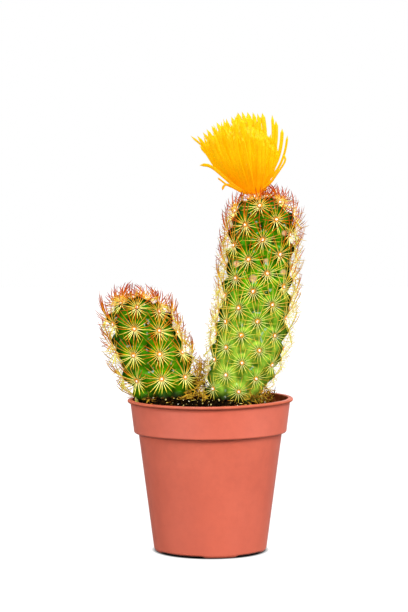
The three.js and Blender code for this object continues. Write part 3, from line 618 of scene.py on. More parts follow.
def skin_material(name, low, middle, high):
    """Waxy green skin: the colour low down, in the middle and at the top, and scars."""
    nodes = surface(name, 0.36, Specular_IOR_Level=0.01, Coat_Weight=0.03, Coat_Roughness=0.1,
                    Subsurface_Weight=0.05, Subsurface_Radius=(0.4, 1.0, 0.1),
                    Subsurface_Scale=0.001)
    height = nodes.attribute("height")
    crown = nodes.attribute("crown")
    green = nodes.ramp(height, (0.0, low), (0.35, low), (0.6, middle), (1.0, high))
    patch = nodes.ramp(nodes.noise(330, 4), (0.34, (0.5, 0.64, 0.4)), (0.66, (1.4, 1.25, 1.3)))
    colour = nodes.multiply(green, patch)
    # Painted shade in the valleys and round each areole, a painted highlight between, more so
    # higher up.
    shade = nodes.ramp(crown, (0.0, (0.05, 0.09, 0.06)), (0.1, (0.2, 0.27, 0.2)),
                       (0.26, (1.3, 1.2, 1)), (0.4, (1.2, 1.15, 1)), (0.6, (0.3, 0.45, 0.35)),
                       (0.74, (0.05, 0.1, 0.08)))
    upper = nodes.span(height, 0.2, 1, end=0.6)
    colour = nodes.mix(upper, colour, nodes.multiply(colour, shade))
    # Painted shade on the skin that faces to either side.
    side_shade = nodes.multiply(colour, (0.24, 0.34, 0.24))
    colour = nodes.mix(nodes.attribute("side_shade"), colour, side_shade)
    # Small pale marks in the valleys, higher up: painted glints on the waxy skin.
    painted_glints = nodes.ramp(nodes.noise(560, 2), (0.61, (0, 0, 0)), (0.66, (1, 1, 1)))
    in_valley = nodes.ramp(crown, (0.14, (0.8, 0.8, 0.8)), (0.34, (0, 0, 0)))
    painted_glints = nodes.mix(upper, (0, 0, 0), nodes.multiply(painted_glints, in_valley))
    colour = nodes.mix(painted_glints, colour, (0.56, 0.8, 0.74))
    speckle = nodes.ramp(nodes.noise(3800, 2), (0.66, (0, 0, 0)), (0.74, (1, 1, 1)))
    colour = nodes.mix(speckle, colour, (0.35, 0.55, 0.08))
    # Painted shade: the skin darkens near the soil.
    colour = nodes.mix(nodes.attribute("foot"), colour, (0.012, 0.022, 0.002))
    scar = nodes.ramp(nodes.noise(2500, 3), (0.35, (0.82, 0.44, 0.22)),
                      (0.65, (0.98, 0.70, 0.42)))
    nodes.feed(Base_Color=nodes.mix(nodes.attribute("scar"), colour, scar),
               Roughness=nodes.span(nodes.noise(900, 3), 0.22, 0.42))
    nodes.bump(0.3, 0.0005, 1500, 4)
    return nodes.owner


def spine_material():
    """Cream spines; the redder ones turn orange and then dark red towards the tip."""
    nodes = surface("spines", 0.55, Specular_IOR_Level=0.05)
    along = nodes.attribute("along")
    pale = nodes.ramp(along, (0.0, (0.92, 0.42, 0.012)), (0.1, (1.0, 0.97, 0.38)),
                      (0.45, (0.97, 0.91, 0.17)), (0.7, (0.82, 0.66, 0.05)),
                      (1.0, (0.56, 0.36, 0.03)))
    orange = nodes.ramp(along, (0.0, (0.90, 0.36, 0.01)), (0.1, (1.0, 0.84, 0.20)),
                        (0.3, (1.0, 0.56, 0.02)), (0.48, (0.62, 0.17, 0.003)),
                        (1.0, (0.30, 0.045, 0.002)))
    red = nodes.ramp(along, (0.0, (0.88, 0.30, 0.008)), (0.1, (1.0, 0.78, 0.18)),
                     (0.26, (0.92, 0.40, 0.02)), (0.42, (0.62, 0.10, 0.002)),
                     (0.8, (0.38, 0.032, 0.002)), (1.0, (0.17, 0.011, 0.002)))
    redness = nodes.attribute("red")
    colour = nodes.mix(nodes.span(redness, end=0.5), pale, orange)
    colour = nodes.mix(nodes.span(redness, start=0.5), colour, red)
    # Painted light: the spines glow a little in their own colour.
    nodes.feed(Base_Color=colour, Emission_Color=colour, Emission_Strength=SPINE_GLOW)
    return nodes.owner


def old_spine_material():
    """Yellow to brown, dead spines at the foot of the stems."""
    nodes = surface("old_spines", 0.7, Specular_IOR_Level=0.05)
    along = nodes.attribute("along")
    fresh = nodes.ramp(along, (0.0, (0.50, 0.19, 0.006)), (0.3, (0.92, 0.62, 0.05)),
                       (1.0, (0.50, 0.19, 0.006)))
    dead = nodes.ramp(along, (0.0, (0.02, 0.005, 0.001)), (1.0, (0.16, 0.045, 0.002)))
    nodes.feed(Base_Color=nodes.mix(nodes.attribute("red"), fresh, dead))
    return nodes.owner


def wool_material():
    # The wool glows a little: painted light that keeps it white.
    return ramped_surface("wool", 0.9, 0.2, "along", (0.0, (0.9, 0.8, 0.6)),
                          (0.3, (1.0, 0.98, 0.93)), (1.0, (1.0, 1.0, 0.98)),
                          Emission_Color=(1, 0.98, 0.93), Emission_Strength=0.2)


def cushion_material():
    return ramped_surface("areoles", 0.7, 0.05, "along", (0.0, (0.42, 0.10, 0.002)),
                          (0.5, (0.86, 0.30, 0.006)), (1.0, (0.98, 0.46, 0.03)))


def petal_material():
    """Dry papery petals, orange low down and yellow higher up, that let light through, and glow:
    painted light.
    """
    nodes = surface("petals", 0.6, Specular_IOR_Level=0.1, Subsurface_Weight=0.3,
                    Subsurface_Radius=(1.0, 0.6, 0.05), Subsurface_Scale=0.0012)
    rise = nodes.ramp(nodes.attribute("rise"), (0.0, (1.0, 0.36, 0.0)), (0.2, (1.0, 0.45, 0.0)),
                      (0.42, (1.0, 0.58, 0.0)), (1.0, (1.0, 0.60, 0.001)))
    tone = nodes.ramp(nodes.attribute("tone"), (0.0, (1.0, 0.93, 1.0)), (1.0, (1.0, 1.04, 1.0)))
    streak = nodes.ramp(nodes.noise(900, 3), (0.35, (1.0, 0.93, 1.0)), (0.65, (1.0, 1.05, 1.0)))
    colour = nodes.multiply(nodes.multiply(rise, tone), streak)
    nodes.feed(Base_Color=nodes.multiply(colour, [PETAL_SHADE] * 3), Emission_Color=colour,
               Emission_Strength=PETAL_GLOW)
    nodes.bump(0.1, 0.0001, 4000, 2)
    return nodes.owner


# Pot

def arc(centre_r, centre_z, radius, start, end, steps=6):
    """Points of an arc in the pot's profile. Angles are in degrees from outward, upwards."""
    turns = np.linspace(start * RAD, end * RAD, steps)
    return [(centre_r + radius * math.cos(a), centre_z + radius * math.sin(a)) for a in turns]


def pot_profile():
    """The shell from the centre of its foot, up the outside, and down the inside.

    Also returns the rings at which the lip and the inside start.
    """
    under_lip = POT_HEIGHT - LIP_HEIGHT
    lip_round = LIP_HEIGHT / 2
    inner_foot = BODY_FOOT_RADIUS - POT_WALL
    outside = [(r, 0) for r in FLOOR_RADII]
    outside += arc(BODY_FOOT_RADIUS - FOOT_ROUNDING, FOOT_ROUNDING, FOOT_ROUNDING, -90, 0, 8)
    outside += [(BODY_TOP_RADIUS, BAND_UNDERSIDE_HEIGHT - FILLET),
                (BODY_TOP_RADIUS + BEVEL, BAND_UNDERSIDE_HEIGHT - BEVEL)]
    outside += arc(BAND_FOOT_RADIUS - STEP_ROUNDING, BAND_UNDERSIDE_HEIGHT + STEP_ROUNDING,
                   STEP_ROUNDING, -90, 5, 7)
    outside += [(BAND_FOOT_RADIUS + BEVEL, BAND_FOOT_HEIGHT + 0.5),
                (BAND_TOP_RADIUS - BEVEL, under_lip - 1.2), (BAND_TOP_RADIUS, under_lip - FILLET),
                (BAND_TOP_RADIUS + 0.12, under_lip - 0.08)]
    lip = arc(LIP_RADIUS - lip_round, under_lip + lip_round, lip_round, -90, 90, 10)
    inside = arc(MOUTH_RADIUS + MOUTH_ROUNDING, POT_HEIGHT - MOUTH_ROUNDING, MOUTH_ROUNDING,
                 90, 180, 5)
    inside += [(BAND_FOOT_RADIUS - POT_WALL, BAND_FOOT_HEIGHT + 0.3),
               (BODY_TOP_RADIUS - POT_WALL, BAND_UNDERSIDE_HEIGHT + 0.6),
               (inner_foot + 0.2, FLOOR_THICKNESS + 1), (inner_foot - 0.8, FLOOR_THICKNESS)]
    inside += [(r, FLOOR_THICKNESS) for r in FLOOR_RADII[::-1]]
    lip_start = len(outside)
    return np.array(outside + lip + inside), lip_start, lip_start + len(lip) + 1


def build_pot():
    profile, lip_start, inside_start = pot_profile()
    rings = len(profile)
    turns = ring_turns(POT_SIDES)
    radius = profile[:, :1]
    height = np.broadcast_to(profile[:, 1:], (rings, POT_SIDES))
    # Thin moulded plastic is never quite round.
    grown = smooth((height - OUT_OF_ROUND_FROM) / OUT_OF_ROUND_RISE)
    wobble = 1 + OUT_OF_ROUND * np.sin(2 * turns + 0.6) * grown
    x = radius * np.cos(turns) * wobble
    y = radius * np.sin(turns) * wobble
    lift = MOUTH_TILT * smooth((x - TILT_START) / TILT_WIDTH)
    lift = lift + MOUTH_BACK_LIFT * (1 + y / LIP_RADIUS) / 2
    height = height + lift * (height / POT_HEIGHT) ** 3
    # Shallow notches under the foot let water out.
    on_foot = (radius > DRAIN_CIRCLE + DRAIN_RADIUS) & (height < FOOT_ROUNDING)
    bearing = np.degrees(np.arctan2(x, -y))
    for start, end in FOOT_NOTCHES:
        depth = smooth((bearing - start) / NOTCH_END) * smooth((end - bearing) / NOTCH_END)
        height = height + on_foot * depth * NOTCH_DEPTH * (1 - height / FOOT_ROUNDING)
    points = np.stack([x, y, height], axis=-1).reshape(-1, 3)
    # Painted shade: darker towards the foot, and on the band.
    painted_shade = FOOT_PAINTED_SHADE * smooth(1 - points[:, 2] / PAINTED_SHADE_HEIGHT)
    painted_shade[points[:, 2] > BAND_UNDERSIDE_HEIGHT] = BAND_PAINTED_SHADE
    pot = make_piece("pot_shell", points, closed_faces(rings, POT_SIDES), pot_material(),
                     {"painted_shade": painted_shade}, ["pot"])
    paint_rings(pot, inside_start, rings - 1, pot_inside_material())
    paint_rings(pot, lip_start, inside_start, pot_lip_material())
    drill_drain_holes(pot)


def paint_rings(pot, start, end, material):
    """Gives the faces between two rings of the pot a material of their own."""
    pot.data.materials.append(material)
    for face in pot.data.polygons[start * POT_SIDES:end * POT_SIDES]:
        face.material_index = len(pot.data.materials) - 1


def drill_drain_holes(pot):
    """Cuts the drain holes through the floor."""
    drills = Pile()
    turns = ring_turns(DRAIN_SIDES)
    for hole in range(DRAIN_HOLES):
        middle = (hole + 0.5) * 2 * math.pi / DRAIN_HOLES
        x = DRAIN_CIRCLE * math.cos(middle) + DRAIN_RADIUS * np.cos(turns)
        y = DRAIN_CIRCLE * math.sin(middle) + DRAIN_RADIUS * np.sin(turns)
        rings = [np.stack([x, y, np.full(DRAIN_SIDES, z)], -1) for z in (-1, FLOOR_THICKNESS + 1)]
        drills.add(rings, closed_faces(2, DRAIN_SIDES))
    mesh = bpy.data.meshes.new("drain_drill")
    mesh.from_pydata((np.concatenate(drills.points) * MM).tolist(), [], drills.faces)
    drill = bpy.data.objects.new("drain_drill", mesh)
    bpy.context.scene.collection.objects.link(drill)
    cut = pot.modifiers.new("drain_holes", "BOOLEAN")
    cut.operation = "DIFFERENCE"
    cut.solver = "EXACT"
    cut.object = drill
    bpy.context.view_layer.update()
    shaped = pot.evaluated_get(bpy.context.evaluated_depsgraph_get())
    drilled = bpy.data.meshes.new_from_object(shaped)
    pot.modifiers.remove(cut)
    pot.data = drilled
    bpy.data.objects.remove(drill)


# Soil

def soil_height(x, y):
    heaped = 0
    for heap_x, heap_y, rise, spread in SOIL_HEAPS:
        distance2 = (x - heap_x) ** 2 + (y - heap_y) ** 2
        heaped = heaped + rise * np.exp(-distance2 / (2 * spread**2))
    to_wall = smooth((MOUTH_RADIUS - np.hypot(x, y)) / SOIL_EDGE_WIDTH)
    crumbs = np.sin(1.9 * x + 0.7 * y) * np.cos(1.6 * y - 0.5 * x)
    return SOIL_EDGE_HEIGHT + heaped * lerp(SOIL_EDGE_SHARE, 1, to_wall) + SOIL_CRUMB * crumbs


def lumps(x, y, draw):
    """Small uneven lumps of the soil's surface, as a sum of waves in drawn directions."""
    height = np.zeros_like(x)
    for size in LUMP_SIZES:
        for _ in range(LUMP_WAVES):
            turn = draw.uniform(0, 2 * math.pi)
            phase = draw.uniform(0, 2 * math.pi)
            wave = (x * math.cos(turn) + y * math.sin(turn)) * 2 * math.pi / size
            height = height + LUMP_HEIGHT * size * np.sin(wave + phase)
    return height


def build_soil():
    draw = np.random.default_rng(4)
    radius = (MOUTH_RADIUS - SOIL_GAP) * (1 - np.arange(SOIL_RINGS) / SOIL_RINGS)
    turns = ring_turns(SOIL_SIDES)
    x = radius[:, None] * np.cos(turns)
    y = radius[:, None] * np.sin(turns)
    top = np.stack([x, y, soil_height(x, y) + lumps(x, y, draw)], -1).reshape(-1, 3)
    side = np.stack([x[0], y[0], np.full(SOIL_SIDES, SOIL_EDGE_HEIGHT - SOIL_DEPTH)], -1)
    points = np.concatenate([side * (SOIL_TAPER, SOIL_TAPER, 1), top])
    make_piece("soil_bed", points, closed_faces(SOIL_RINGS + 1, SOIL_SIDES), soil_material(),
               replaces=["soil"])


def pebble(draw, size):
    """An uneven grain: an icosahedron whose corners are pulled in and out."""
    g = GOLDEN_RATIO
    corners = np.array([(-1, g, 0), (1, g, 0), (-1, -g, 0), (1, -g, 0), (0, -1, g), (0, 1, g),
                        (0, -1, -g), (0, 1, -g), (g, 0, -1), (g, 0, 1), (-g, 0, -1), (-g, 0, 1)])
    faces = [(0, 11, 5), (0, 5, 1), (0, 1, 7), (0, 7, 10), (0, 10, 11), (1, 5, 9), (5, 11, 4),
             (11, 10, 2), (10, 7, 6), (7, 1, 8), (3, 9, 4), (3, 4, 2), (3, 2, 6), (3, 6, 8),
             (3, 8, 9), (4, 9, 5), (2, 4, 11), (6, 2, 10), (8, 6, 7), (9, 8, 1)]
    shape = unit(corners) * draw.uniform(0.7, 1.15, (12, 1)) * size
    shape = shape * draw.uniform(0.6, 1.1, 3)
    turn = draw.uniform(0, 2 * math.pi, 2)
    c, s = np.cos(turn), np.sin(turn)
    spin = np.array([[c[0], -s[0], 0], [s[0], c[0], 0], [0, 0, 1]])
    tip = np.array([[1, 0, 0], [0, c[1], -s[1]], [0, s[1], c[1]]])
    return shape @ spin @ tip, faces


def open_soil(draw, stems, reach=1.0):
    """A place on the soil that no stem covers."""
    edge = MOUTH_RADIUS - LITTER_WALL_GAP
    while True:
        x, y = draw.uniform(-edge, edge, 2)
        if math.hypot(x, y) > edge * reach:
            continue
        if all(stem.distance_from_axis(x, y, LITTER_LEVEL) > LITTER_STEM_GAP for stem in stems):
            return x, y


def build_grains(name, count, material, draw, stems, size_of, lift_of, tone_of):
    """Uneven grains that lie about on the soil, each of a drawn size, lift and tone."""
    grains = Pile()
    for _ in range(count):
        x, y = open_soil(draw, stems)
        size = size_of()
        points, faces = pebble(draw, size)
        points += (x, y, soil_height(x, y) + lift_of(size))
        grains.add(points, faces, tone=tone_of())
    grains.make(name, material)


def build_soil_litter(stems, spine_stuff):
    """Crumbs of peat, pale grains, and spines that fell off."""
    draw = np.random.default_rng(8)
    build_grains("soil_crumbs", CRUMBS, crumb_material(), draw, stems,
                 lambda: 0.22 + 0.5 * draw.random() ** 3,
                 lambda size: 0.35 * size + draw.uniform(-0.05, 0.2),
                 lambda: draw.random() ** 2)
    build_grains("soil_grains", PERLITE_GRAINS, perlite_material(), draw, stems,
                 lambda: 0.14 + 0.36 * draw.random() ** 2,
                 lambda size: 0.3 + 0.4 * size,
                 draw.random)
    paths = []
    for _ in range(FALLEN_SPINES):
        x, y = open_soil(draw, stems, 0.93)
        turn = draw.uniform(0, 2 * math.pi)
        reach = np.linspace(-0.5, 0.5, SPINE_RINGS) * draw.uniform(2.0, 4.6)
        bow = 0.5 * (1 - (reach / 2) ** 2) * draw.uniform(-0.6, 0.6)
        line_x = x + reach * math.cos(turn) - bow * math.sin(turn)
        line_y = y + reach * math.sin(turn) + bow * math.cos(turn)
        line_z = soil_height(x, y) + 0.5 + reach * draw.uniform(-0.12, 0.12)
        path = np.stack([line_x, line_y, line_z], -1)
        path[:, :2] *= within_wall(path)
        paths.append(path)
    taper = 0.75 * SPINE_RADIUS * np.sqrt(np.linspace(1, 0.05, SPINE_RINGS))
    make_tubes("soil_fallen_spines", paths, [taper] * FALLEN_SPINES, THIN_SIDES, spine_stuff,
               "soil", red=draw.uniform(0, 1, FALLEN_SPINES))


def within_wall(path):
    """The shares by which the points of a path are pulled in to stay inside the pot."""
    inside = MOUTH_RADIUS - SPINE_WALL_GAP
    return np.minimum(1, inside / np.maximum(np.hypot(path[:, 0], path[:, 1]), 1e-6))[:, None]


def meets_wall(path):
    """Whether a path runs into the wall or the lip of the pot."""
    low = path[:, 2] < POT_HEIGHT + SPINE_LIP_GAP
    return np.any(low & (within_wall(path)[:, 0] < 1))


def build_old_spines(material):
    """Clumps of dead spines, standing every way, where the stems leave the soil."""
    draw = np.random.default_rng(31)
    paths, red = [], []
    for *clump, darkness in OLD_CLUMPS:
        for _ in range(OLD_SPINES_PER_CLUMP):
            bearing = draw.uniform(0, 2 * math.pi)
            rise = draw.uniform(-25, 60) * RAD
            way = np.array([math.cos(bearing) * math.cos(rise), -0.5 * math.sin(rise),
                            math.sin(bearing) * math.cos(rise)])
            length = OLD_SPINE_LENGTH * draw.uniform(0.6, 1.1)
            bend = draw.uniform(-0.12, 0.12, 3)
            path = bent_line(np.array(clump) + draw.uniform(-0.8, 0.8, 3), way, length, bend)
            path[:, 2] = np.maximum(path[:, 2], soil_height(path[:, 0], path[:, 1]) + 0.1)
            path[:, :2] *= within_wall(path)
            paths.append(path)
            red.append(np.clip(darkness + draw.uniform(-0.5, 0.5), 0, 1))
    taper = OLD_SPINE_RADIUS * np.linspace(1, 0.5, SPINE_RINGS)
    make_tubes("stem_old_spines", paths, [taper] * len(paths), THIN_SIDES, material, "stem",
               red=red)


# Stems

class Stem:
    """The skin of one stem through its tubercle tips, and the places of its areoles.

    A place on the skin is a distance u along it from the foot and an angle round it. The
    angle is 0 towards +X and 90 degrees towards +Y.
    """

    def __init__(self, spec):
        self.spec = spec
        self.name = f"stem_{spec['name']}"
        self.draw = np.random.default_rng(spec["seed"])
        self.walk()
        self.place_areoles()

    def walk(self):
        """Rows of the skin from the buried foot to the apex."""
        spec = self.spec
        share = np.linspace(0, 1, AXIS_STEPS)[:, None]
        a, b, c, d = (np.array(corner, float) for corner in spec["axis"])
        line = ((1 - share) ** 3 * a + 3 * (1 - share) ** 2 * share * b
                + 3 * (1 - share) * share**2 * c + share**3 * d)
        far = lengths_along(line)
        slope = unit(np.gradient(line, axis=0))
        self.length = far[-1]
        along = np.linspace(0, self.length, STEM_ROWS)
        x, z, tx, tz = (np.interp(along, far, column) for column in (*line.T, *slope.T))
        grown = smooth((z - z[0]) / (spec["full_height"] - z[0]))
        narrowed = smooth((z - spec["full_height"]) / (z[-1] - spec["full_height"]))
        r = lerp(spec["foot_radius"], spec["full_radius"], grown)
        r = r - (spec["full_radius"] - spec["top_radius"]) * narrowed
        foot = np.arange(1, FOOT_ROWS) / FOOT_ROWS * math.pi / 2
        dome = np.arange(1, DOME_ROWS) / DOME_ROWS * math.pi / 2
        below = -FOOT_DEPTH * np.cos(foot)
        above = spec["dome_height"] * np.sin(dome)
        self.along = np.concatenate([below, along, self.length + above])
        self.r = np.concatenate([spec["foot_radius"] * np.sin(foot), r,
                                 spec["top_radius"] * np.cos(dome)])
        self.cx = np.concatenate([x[0] + below * tx[0], x, x[-1] + above * tx[-1]])
        self.cz = np.concatenate([z[0] + below * tz[0], z, z[-1] + above * tz[-1]])
        self.tx, self.tz = (np.pad(t, (len(foot), len(dome)), "edge") for t in (tx, tz))
        step = np.hypot(np.diff(self.along), np.diff(self.r))
        self.u = np.concatenate([[0], np.cumsum(step)])
        self.u -= self.u[len(foot)]
        rise = unit(np.stack([np.gradient(self.along), np.gradient(self.r)], -1))
        self.outward = rise[:, 0]
        self.upward = -rise[:, 1]
        self.area = self.graded("areas")
        self.relief = self.graded("relief")

    def graded(self, key):
        """A value stated at the foot, the middle, the top and the apex, for every row."""
        foot, middle, top, apex = self.spec[key]
        column = np.interp(self.along / self.length, [0, 0.5, 1], [foot, middle, top])
        on_dome = self.along > self.length
        column[on_dome] = lerp(top, apex, 1 - self.r[on_dome] / self.spec["top_radius"])
        return column

    def skin(self, u, angle):
        """Points and outward normals of the skin, with the stem's tangent there."""
        def read(column):
            return np.interp(u, self.u, column)

        zero = np.zeros_like(u)
        tangent = unit(np.stack([read(self.tx), zero, read(self.tz)], -1))
        side = np.stack([tangent[..., 2], zero, -tangent[..., 0]], -1)
        out = turned(side, np.array([0.0, 1.0, 0.0]), angle)
        centre = np.stack([read(self.cx), zero + self.spec["y"], read(self.cz)], -1)
        point = centre + out * read(self.r)[..., None]
        normal = unit(out * read(self.outward)[..., None] + tangent * read(self.upward)[..., None])
        # The crown is lower than a round dome: a shallow cap limits its height.
        cap_x, cap_z, cap_radius = self.spec["cap"]
        from_top2 = (point[..., 0] - cap_x) ** 2 + (point[..., 1] - self.spec["y"]) ** 2
        cap = cap_z - from_top2 / (2 * cap_radius)
        over = (point[..., 2] - cap) / CAP_SOFTNESS
        point[..., 2] -= CAP_SOFTNESS * np.logaddexp(0, over)
        return point, normal, tangent

    def place_areoles(self):
        """Areoles on one spiral, each with its own area of skin, and a tuft at the apex."""
        on = self.along >= 0
        u = self.u[on]
        density = 2 * math.pi * self.r[on] / self.area[on]
        count = np.concatenate([[0], np.cumsum(np.diff(u) * (density[1:] + density[:-1]) / 2)])
        k = np.arange(int(count[-1]))
        self.tuft_first = len(k)
        tuft = np.arange(TUFT_AREOLES)
        tuft_u = self.u[-1] - TUFT_REACH * np.sqrt((tuft + 0.5) / TUFT_AREOLES)
        angle = (self.spec["first_angle"] + self.spec["divergence"] * k) * RAD
        self.tips, self.normals, self.tangents = self.skin(
            np.concatenate([np.interp(k, count, u), tuft_u]),
            np.concatenate([angle, tuft * GOLDEN_ANGLE]))
        # The tubercles of the crown lean outwards.
        upright = np.sum(self.normals * self.tangents, -1, keepdims=True)
        leaning = unit(self.normals - CROWN_LEAN * upright * self.tangents)
        self.normals[:self.tuft_first] = leaning[:self.tuft_first]

    def distance_from_axis(self, x, y, height):
        """How far a place is from the stem's axis, level with a height."""
        middle = np.interp(height, self.cz, self.cx)
        return math.hypot(x - middle, y - self.spec["y"])

    def sink(self, points, area, relief):
        """How far the skin lies under the tips at points of it, and its crown value.

        The tubercles point up the stem: each falls away fast above its areole, slowly below.
        The crown value is 1 at an areole and 0 in the valleys.
        """
        near = np.zeros(len(points))
        nearest = np.full(len(points), np.inf)
        for k, tip in enumerate(self.tips):
            offset = points - tip
            distance = np.linalg.norm(offset, axis=1)
            above = offset @ self.axes_at(k)[2]
            distance = distance * (1 + TUBERCLE_TILT * above / (distance + 0.4))
            near += np.exp(-CELL_BLEND * np.minimum(distance, 60))
            nearest = np.minimum(nearest, distance)
        distance = np.clip(-np.log(np.maximum(near, 1e-30)) / CELL_BLEND, 0, None)
        cell = CELL_RADIUS_SHARE * np.sqrt(area)
        rounded = np.sqrt((distance / cell) ** 2 + TIP_ROUNDING) - math.sqrt(TIP_ROUNDING)
        sunk = relief * np.sqrt(area) * np.minimum(rounded, VALLEY_LIMIT) ** TUBERCLE_POWER
        return sunk, np.clip(1 - nearest / cell, 0, 1)

    def build_body(self, material):
        rows_u = np.arange(-SKIN_START, self.u[-1] - SKIN_END, SKIN_STEP)
        sides = int(2 * math.pi * self.spec["full_radius"] / SKIN_STEP)
        u = np.repeat(rows_u, sides)
        points, normals, _ = self.skin(u, np.tile(ring_turns(sides), len(rows_u)))
        sunk, crown = self.sink(points, np.interp(u, self.u, self.area),
                                np.interp(u, self.u, self.relief))
        waves = np.sin(0.9 * points[:, 0] + 1.7 * points[:, 2]) * np.sin(1.3 * points[:, 1])
        points = points - normals * (sunk + SKIN_UNEVENNESS * waves)[:, None]
        x, y, z = points.T
        scar = np.zeros(len(points))
        for scar_x, scar_z, radius in self.spec["scars"]:
            fade = smooth((radius - np.hypot(x - scar_x, z - scar_z)) / (0.45 * radius))
            scar = np.maximum(scar, fade * (y < self.spec["y"]))
        values = {"height": (z - SKIN_COLOUR_FROM) / (self.cz[-1] - SKIN_COLOUR_FROM),
                  "crown": crown, "scar": scar,
                  # Painted shade near the soil.
                  "foot": smooth(1.15 - (z - soil_height(x, y)) / FOOT_SHADE),
                  # Painted shade on the skin that faces to either side.
                  "side_shade": smooth((np.abs(normals[:, 0]) - 0.7) / 0.28)}
        make_piece(f"{self.name}_skin", points, closed_faces(len(rows_u), sides), material,
                   values, [self.name])

    def shown(self, hidden_by=None):
        """The areoles that stand clear of the soil and of what sits on the stem."""
        above = self.tips[:, 2] - soil_height(self.tips[:, 0], self.tips[:, 1]) > BURIED_BELOW
        if hidden_by is not None:
            above &= np.linalg.norm(self.tips - np.array(hidden_by), axis=1) > BLOOM_SEAT_REACH
        return np.nonzero(above)[0]

    def axes_at(self, k):
        """The outward normal of an areole, and its two sides: round the stem, and up it."""
        normal = self.normals[k]
        round_it = unit(np.cross(self.tangents[k], normal))
        return normal, round_it, np.cross(normal, round_it)

    def build_spines(self, areoles, material):
        """The radial spines of every areole, and standing red ones round the apex."""
        draw = self.draw
        paths, radii, red = [], [], []
        t = np.linspace(0, 1, SPINE_RINGS)
        # Thinnest at the root, so that the wreath of roots stays open.
        profile = lerp(0.66, 1, smooth(t / 0.4)) * (1 - 0.2 * smooth((t - 0.6) / 0.4))
        profile = profile * (1 - t**12)
        top_z = self.spec["cap"][1]
        for k in areoles:
            height = (self.tips[k][2] - SPINE_COLOUR_FROM) / (top_z - SPINE_COLOUR_FROM)
            height = np.clip(height, 0, 1)
            apex = smooth((np.dot(self.normals[k], self.tangents[k]) - 0.25) / 0.6)
            stoutness = max(height, self.spec["least_stoutness"])
            count = round(lerp(0.7, 1, stoutness) * RADIAL_SPINES) + draw.integers(-1, 2)
            count = TUFT_SPINES if k >= self.tuft_first else count
            turn = draw.uniform(0, 2 * math.pi)
            for j in range(count):
                bearing = turn + j * 2 * math.pi / count + draw.uniform(-0.08, 0.08)
                path = self.spine_path(k, j, bearing, height, apex)
                if meets_wall(path):
                    path[:, :2] *= within_wall(path)
                paths.append(path)
                upness = math.sin(bearing)
                thickness = SPINE_RADIUS * draw.uniform(0.85, 1.15) * lerp(0.5, 1.08, stoutness)
                is_bold = draw.random() < BOLD_SHARE
                thickness *= 1 + (0.5 if is_bold else -0.1) * max(0, upness)
                radii.append(thickness * profile + SPINE_TIP_RADIUS)
                reddened = height ** self.spec["reddening"]
                redness = lerp(*self.spec["redness"], reddened) + 0.1 * apex
                redness += lerp(*self.spec["up_redness"], reddened) * upness
                redness += draw.uniform(-1, 1) * lerp(0.3, 0.1, height)
                redness += (0.3 if is_bold else -0.22) * height
                red.append(np.clip(redness, 0, 1))
        make_tubes(f"{self.name}_spines", paths, radii, SPINE_SIDES, material, "stem", red=red)

    def spine_path(self, k, j, bearing, height, apex):
        """The line of one spine. height and apex tell how far up its areole is, from 0 to 1.

        Those that point up the stem rise steeply and bend back along it, and those across it
        lie flat.
        """
        draw = self.draw
        normal, round_it, up = self.axes_at(k)
        in_tuft = k >= self.tuft_first
        near_top = smooth((height - 0.76) / 0.2)
        upness = math.sin(bearing)
        curl = max(0, upness)
        steepness = draw.uniform(0.25, 1) * (self.spec["up_rise"] if upness > 0 else DOWN_RISE)
        steepness *= 1 - 0.35 * smooth((height - 0.6) / 0.3)
        rise = SPINE_RISE + steepness * upness**2 + draw.uniform(-8, 8)
        if j % 4 == 2:
            rise += RAISED_SPINE_RISE * (1 - abs(upness)) * (1 - near_top)
        rise = (rise + APEX_RISE * apex) * RAD
        if in_tuft:
            rise = draw.uniform(*TUFT_RISE) * RAD
        outward = turned(round_it, up, bearing)
        way = turned(outward, normal, rise)
        grown = lerp(*self.spec["growth"], smooth(height / 0.6))
        length = SPINE_LENGTH * draw.uniform(0.88, 1.08) * grown
        longer = self.spec["up_length"] if upness > 0 else 0.1
        length *= TUFT_SPINE_SHARE if in_tuft else 1 + longer * upness
        length *= 1 - TOP_SHORTENING * near_top * curl
        bend = up * draw.uniform(0.7, 1.3) * (lerp(0.08, 0.14, height) + 0.08 * apex)
        bend = bend + outward * curl * (1 - math.cos(rise)) / 2
        bend = bend - normal * (curl * math.sin(rise) / 2 + draw.uniform(-0.02, 0.06))
        bend = bend - normal * 0.12 * near_top * curl
        bend = bend + np.cross(normal, outward) * draw.uniform(-0.05, 0.05)
        root = self.tips[k] + outward * ROOT_RING * (1 if j % 2 else 0.85) - normal * ROOT_DEPTH
        return bent_line(root, way, length, bend)

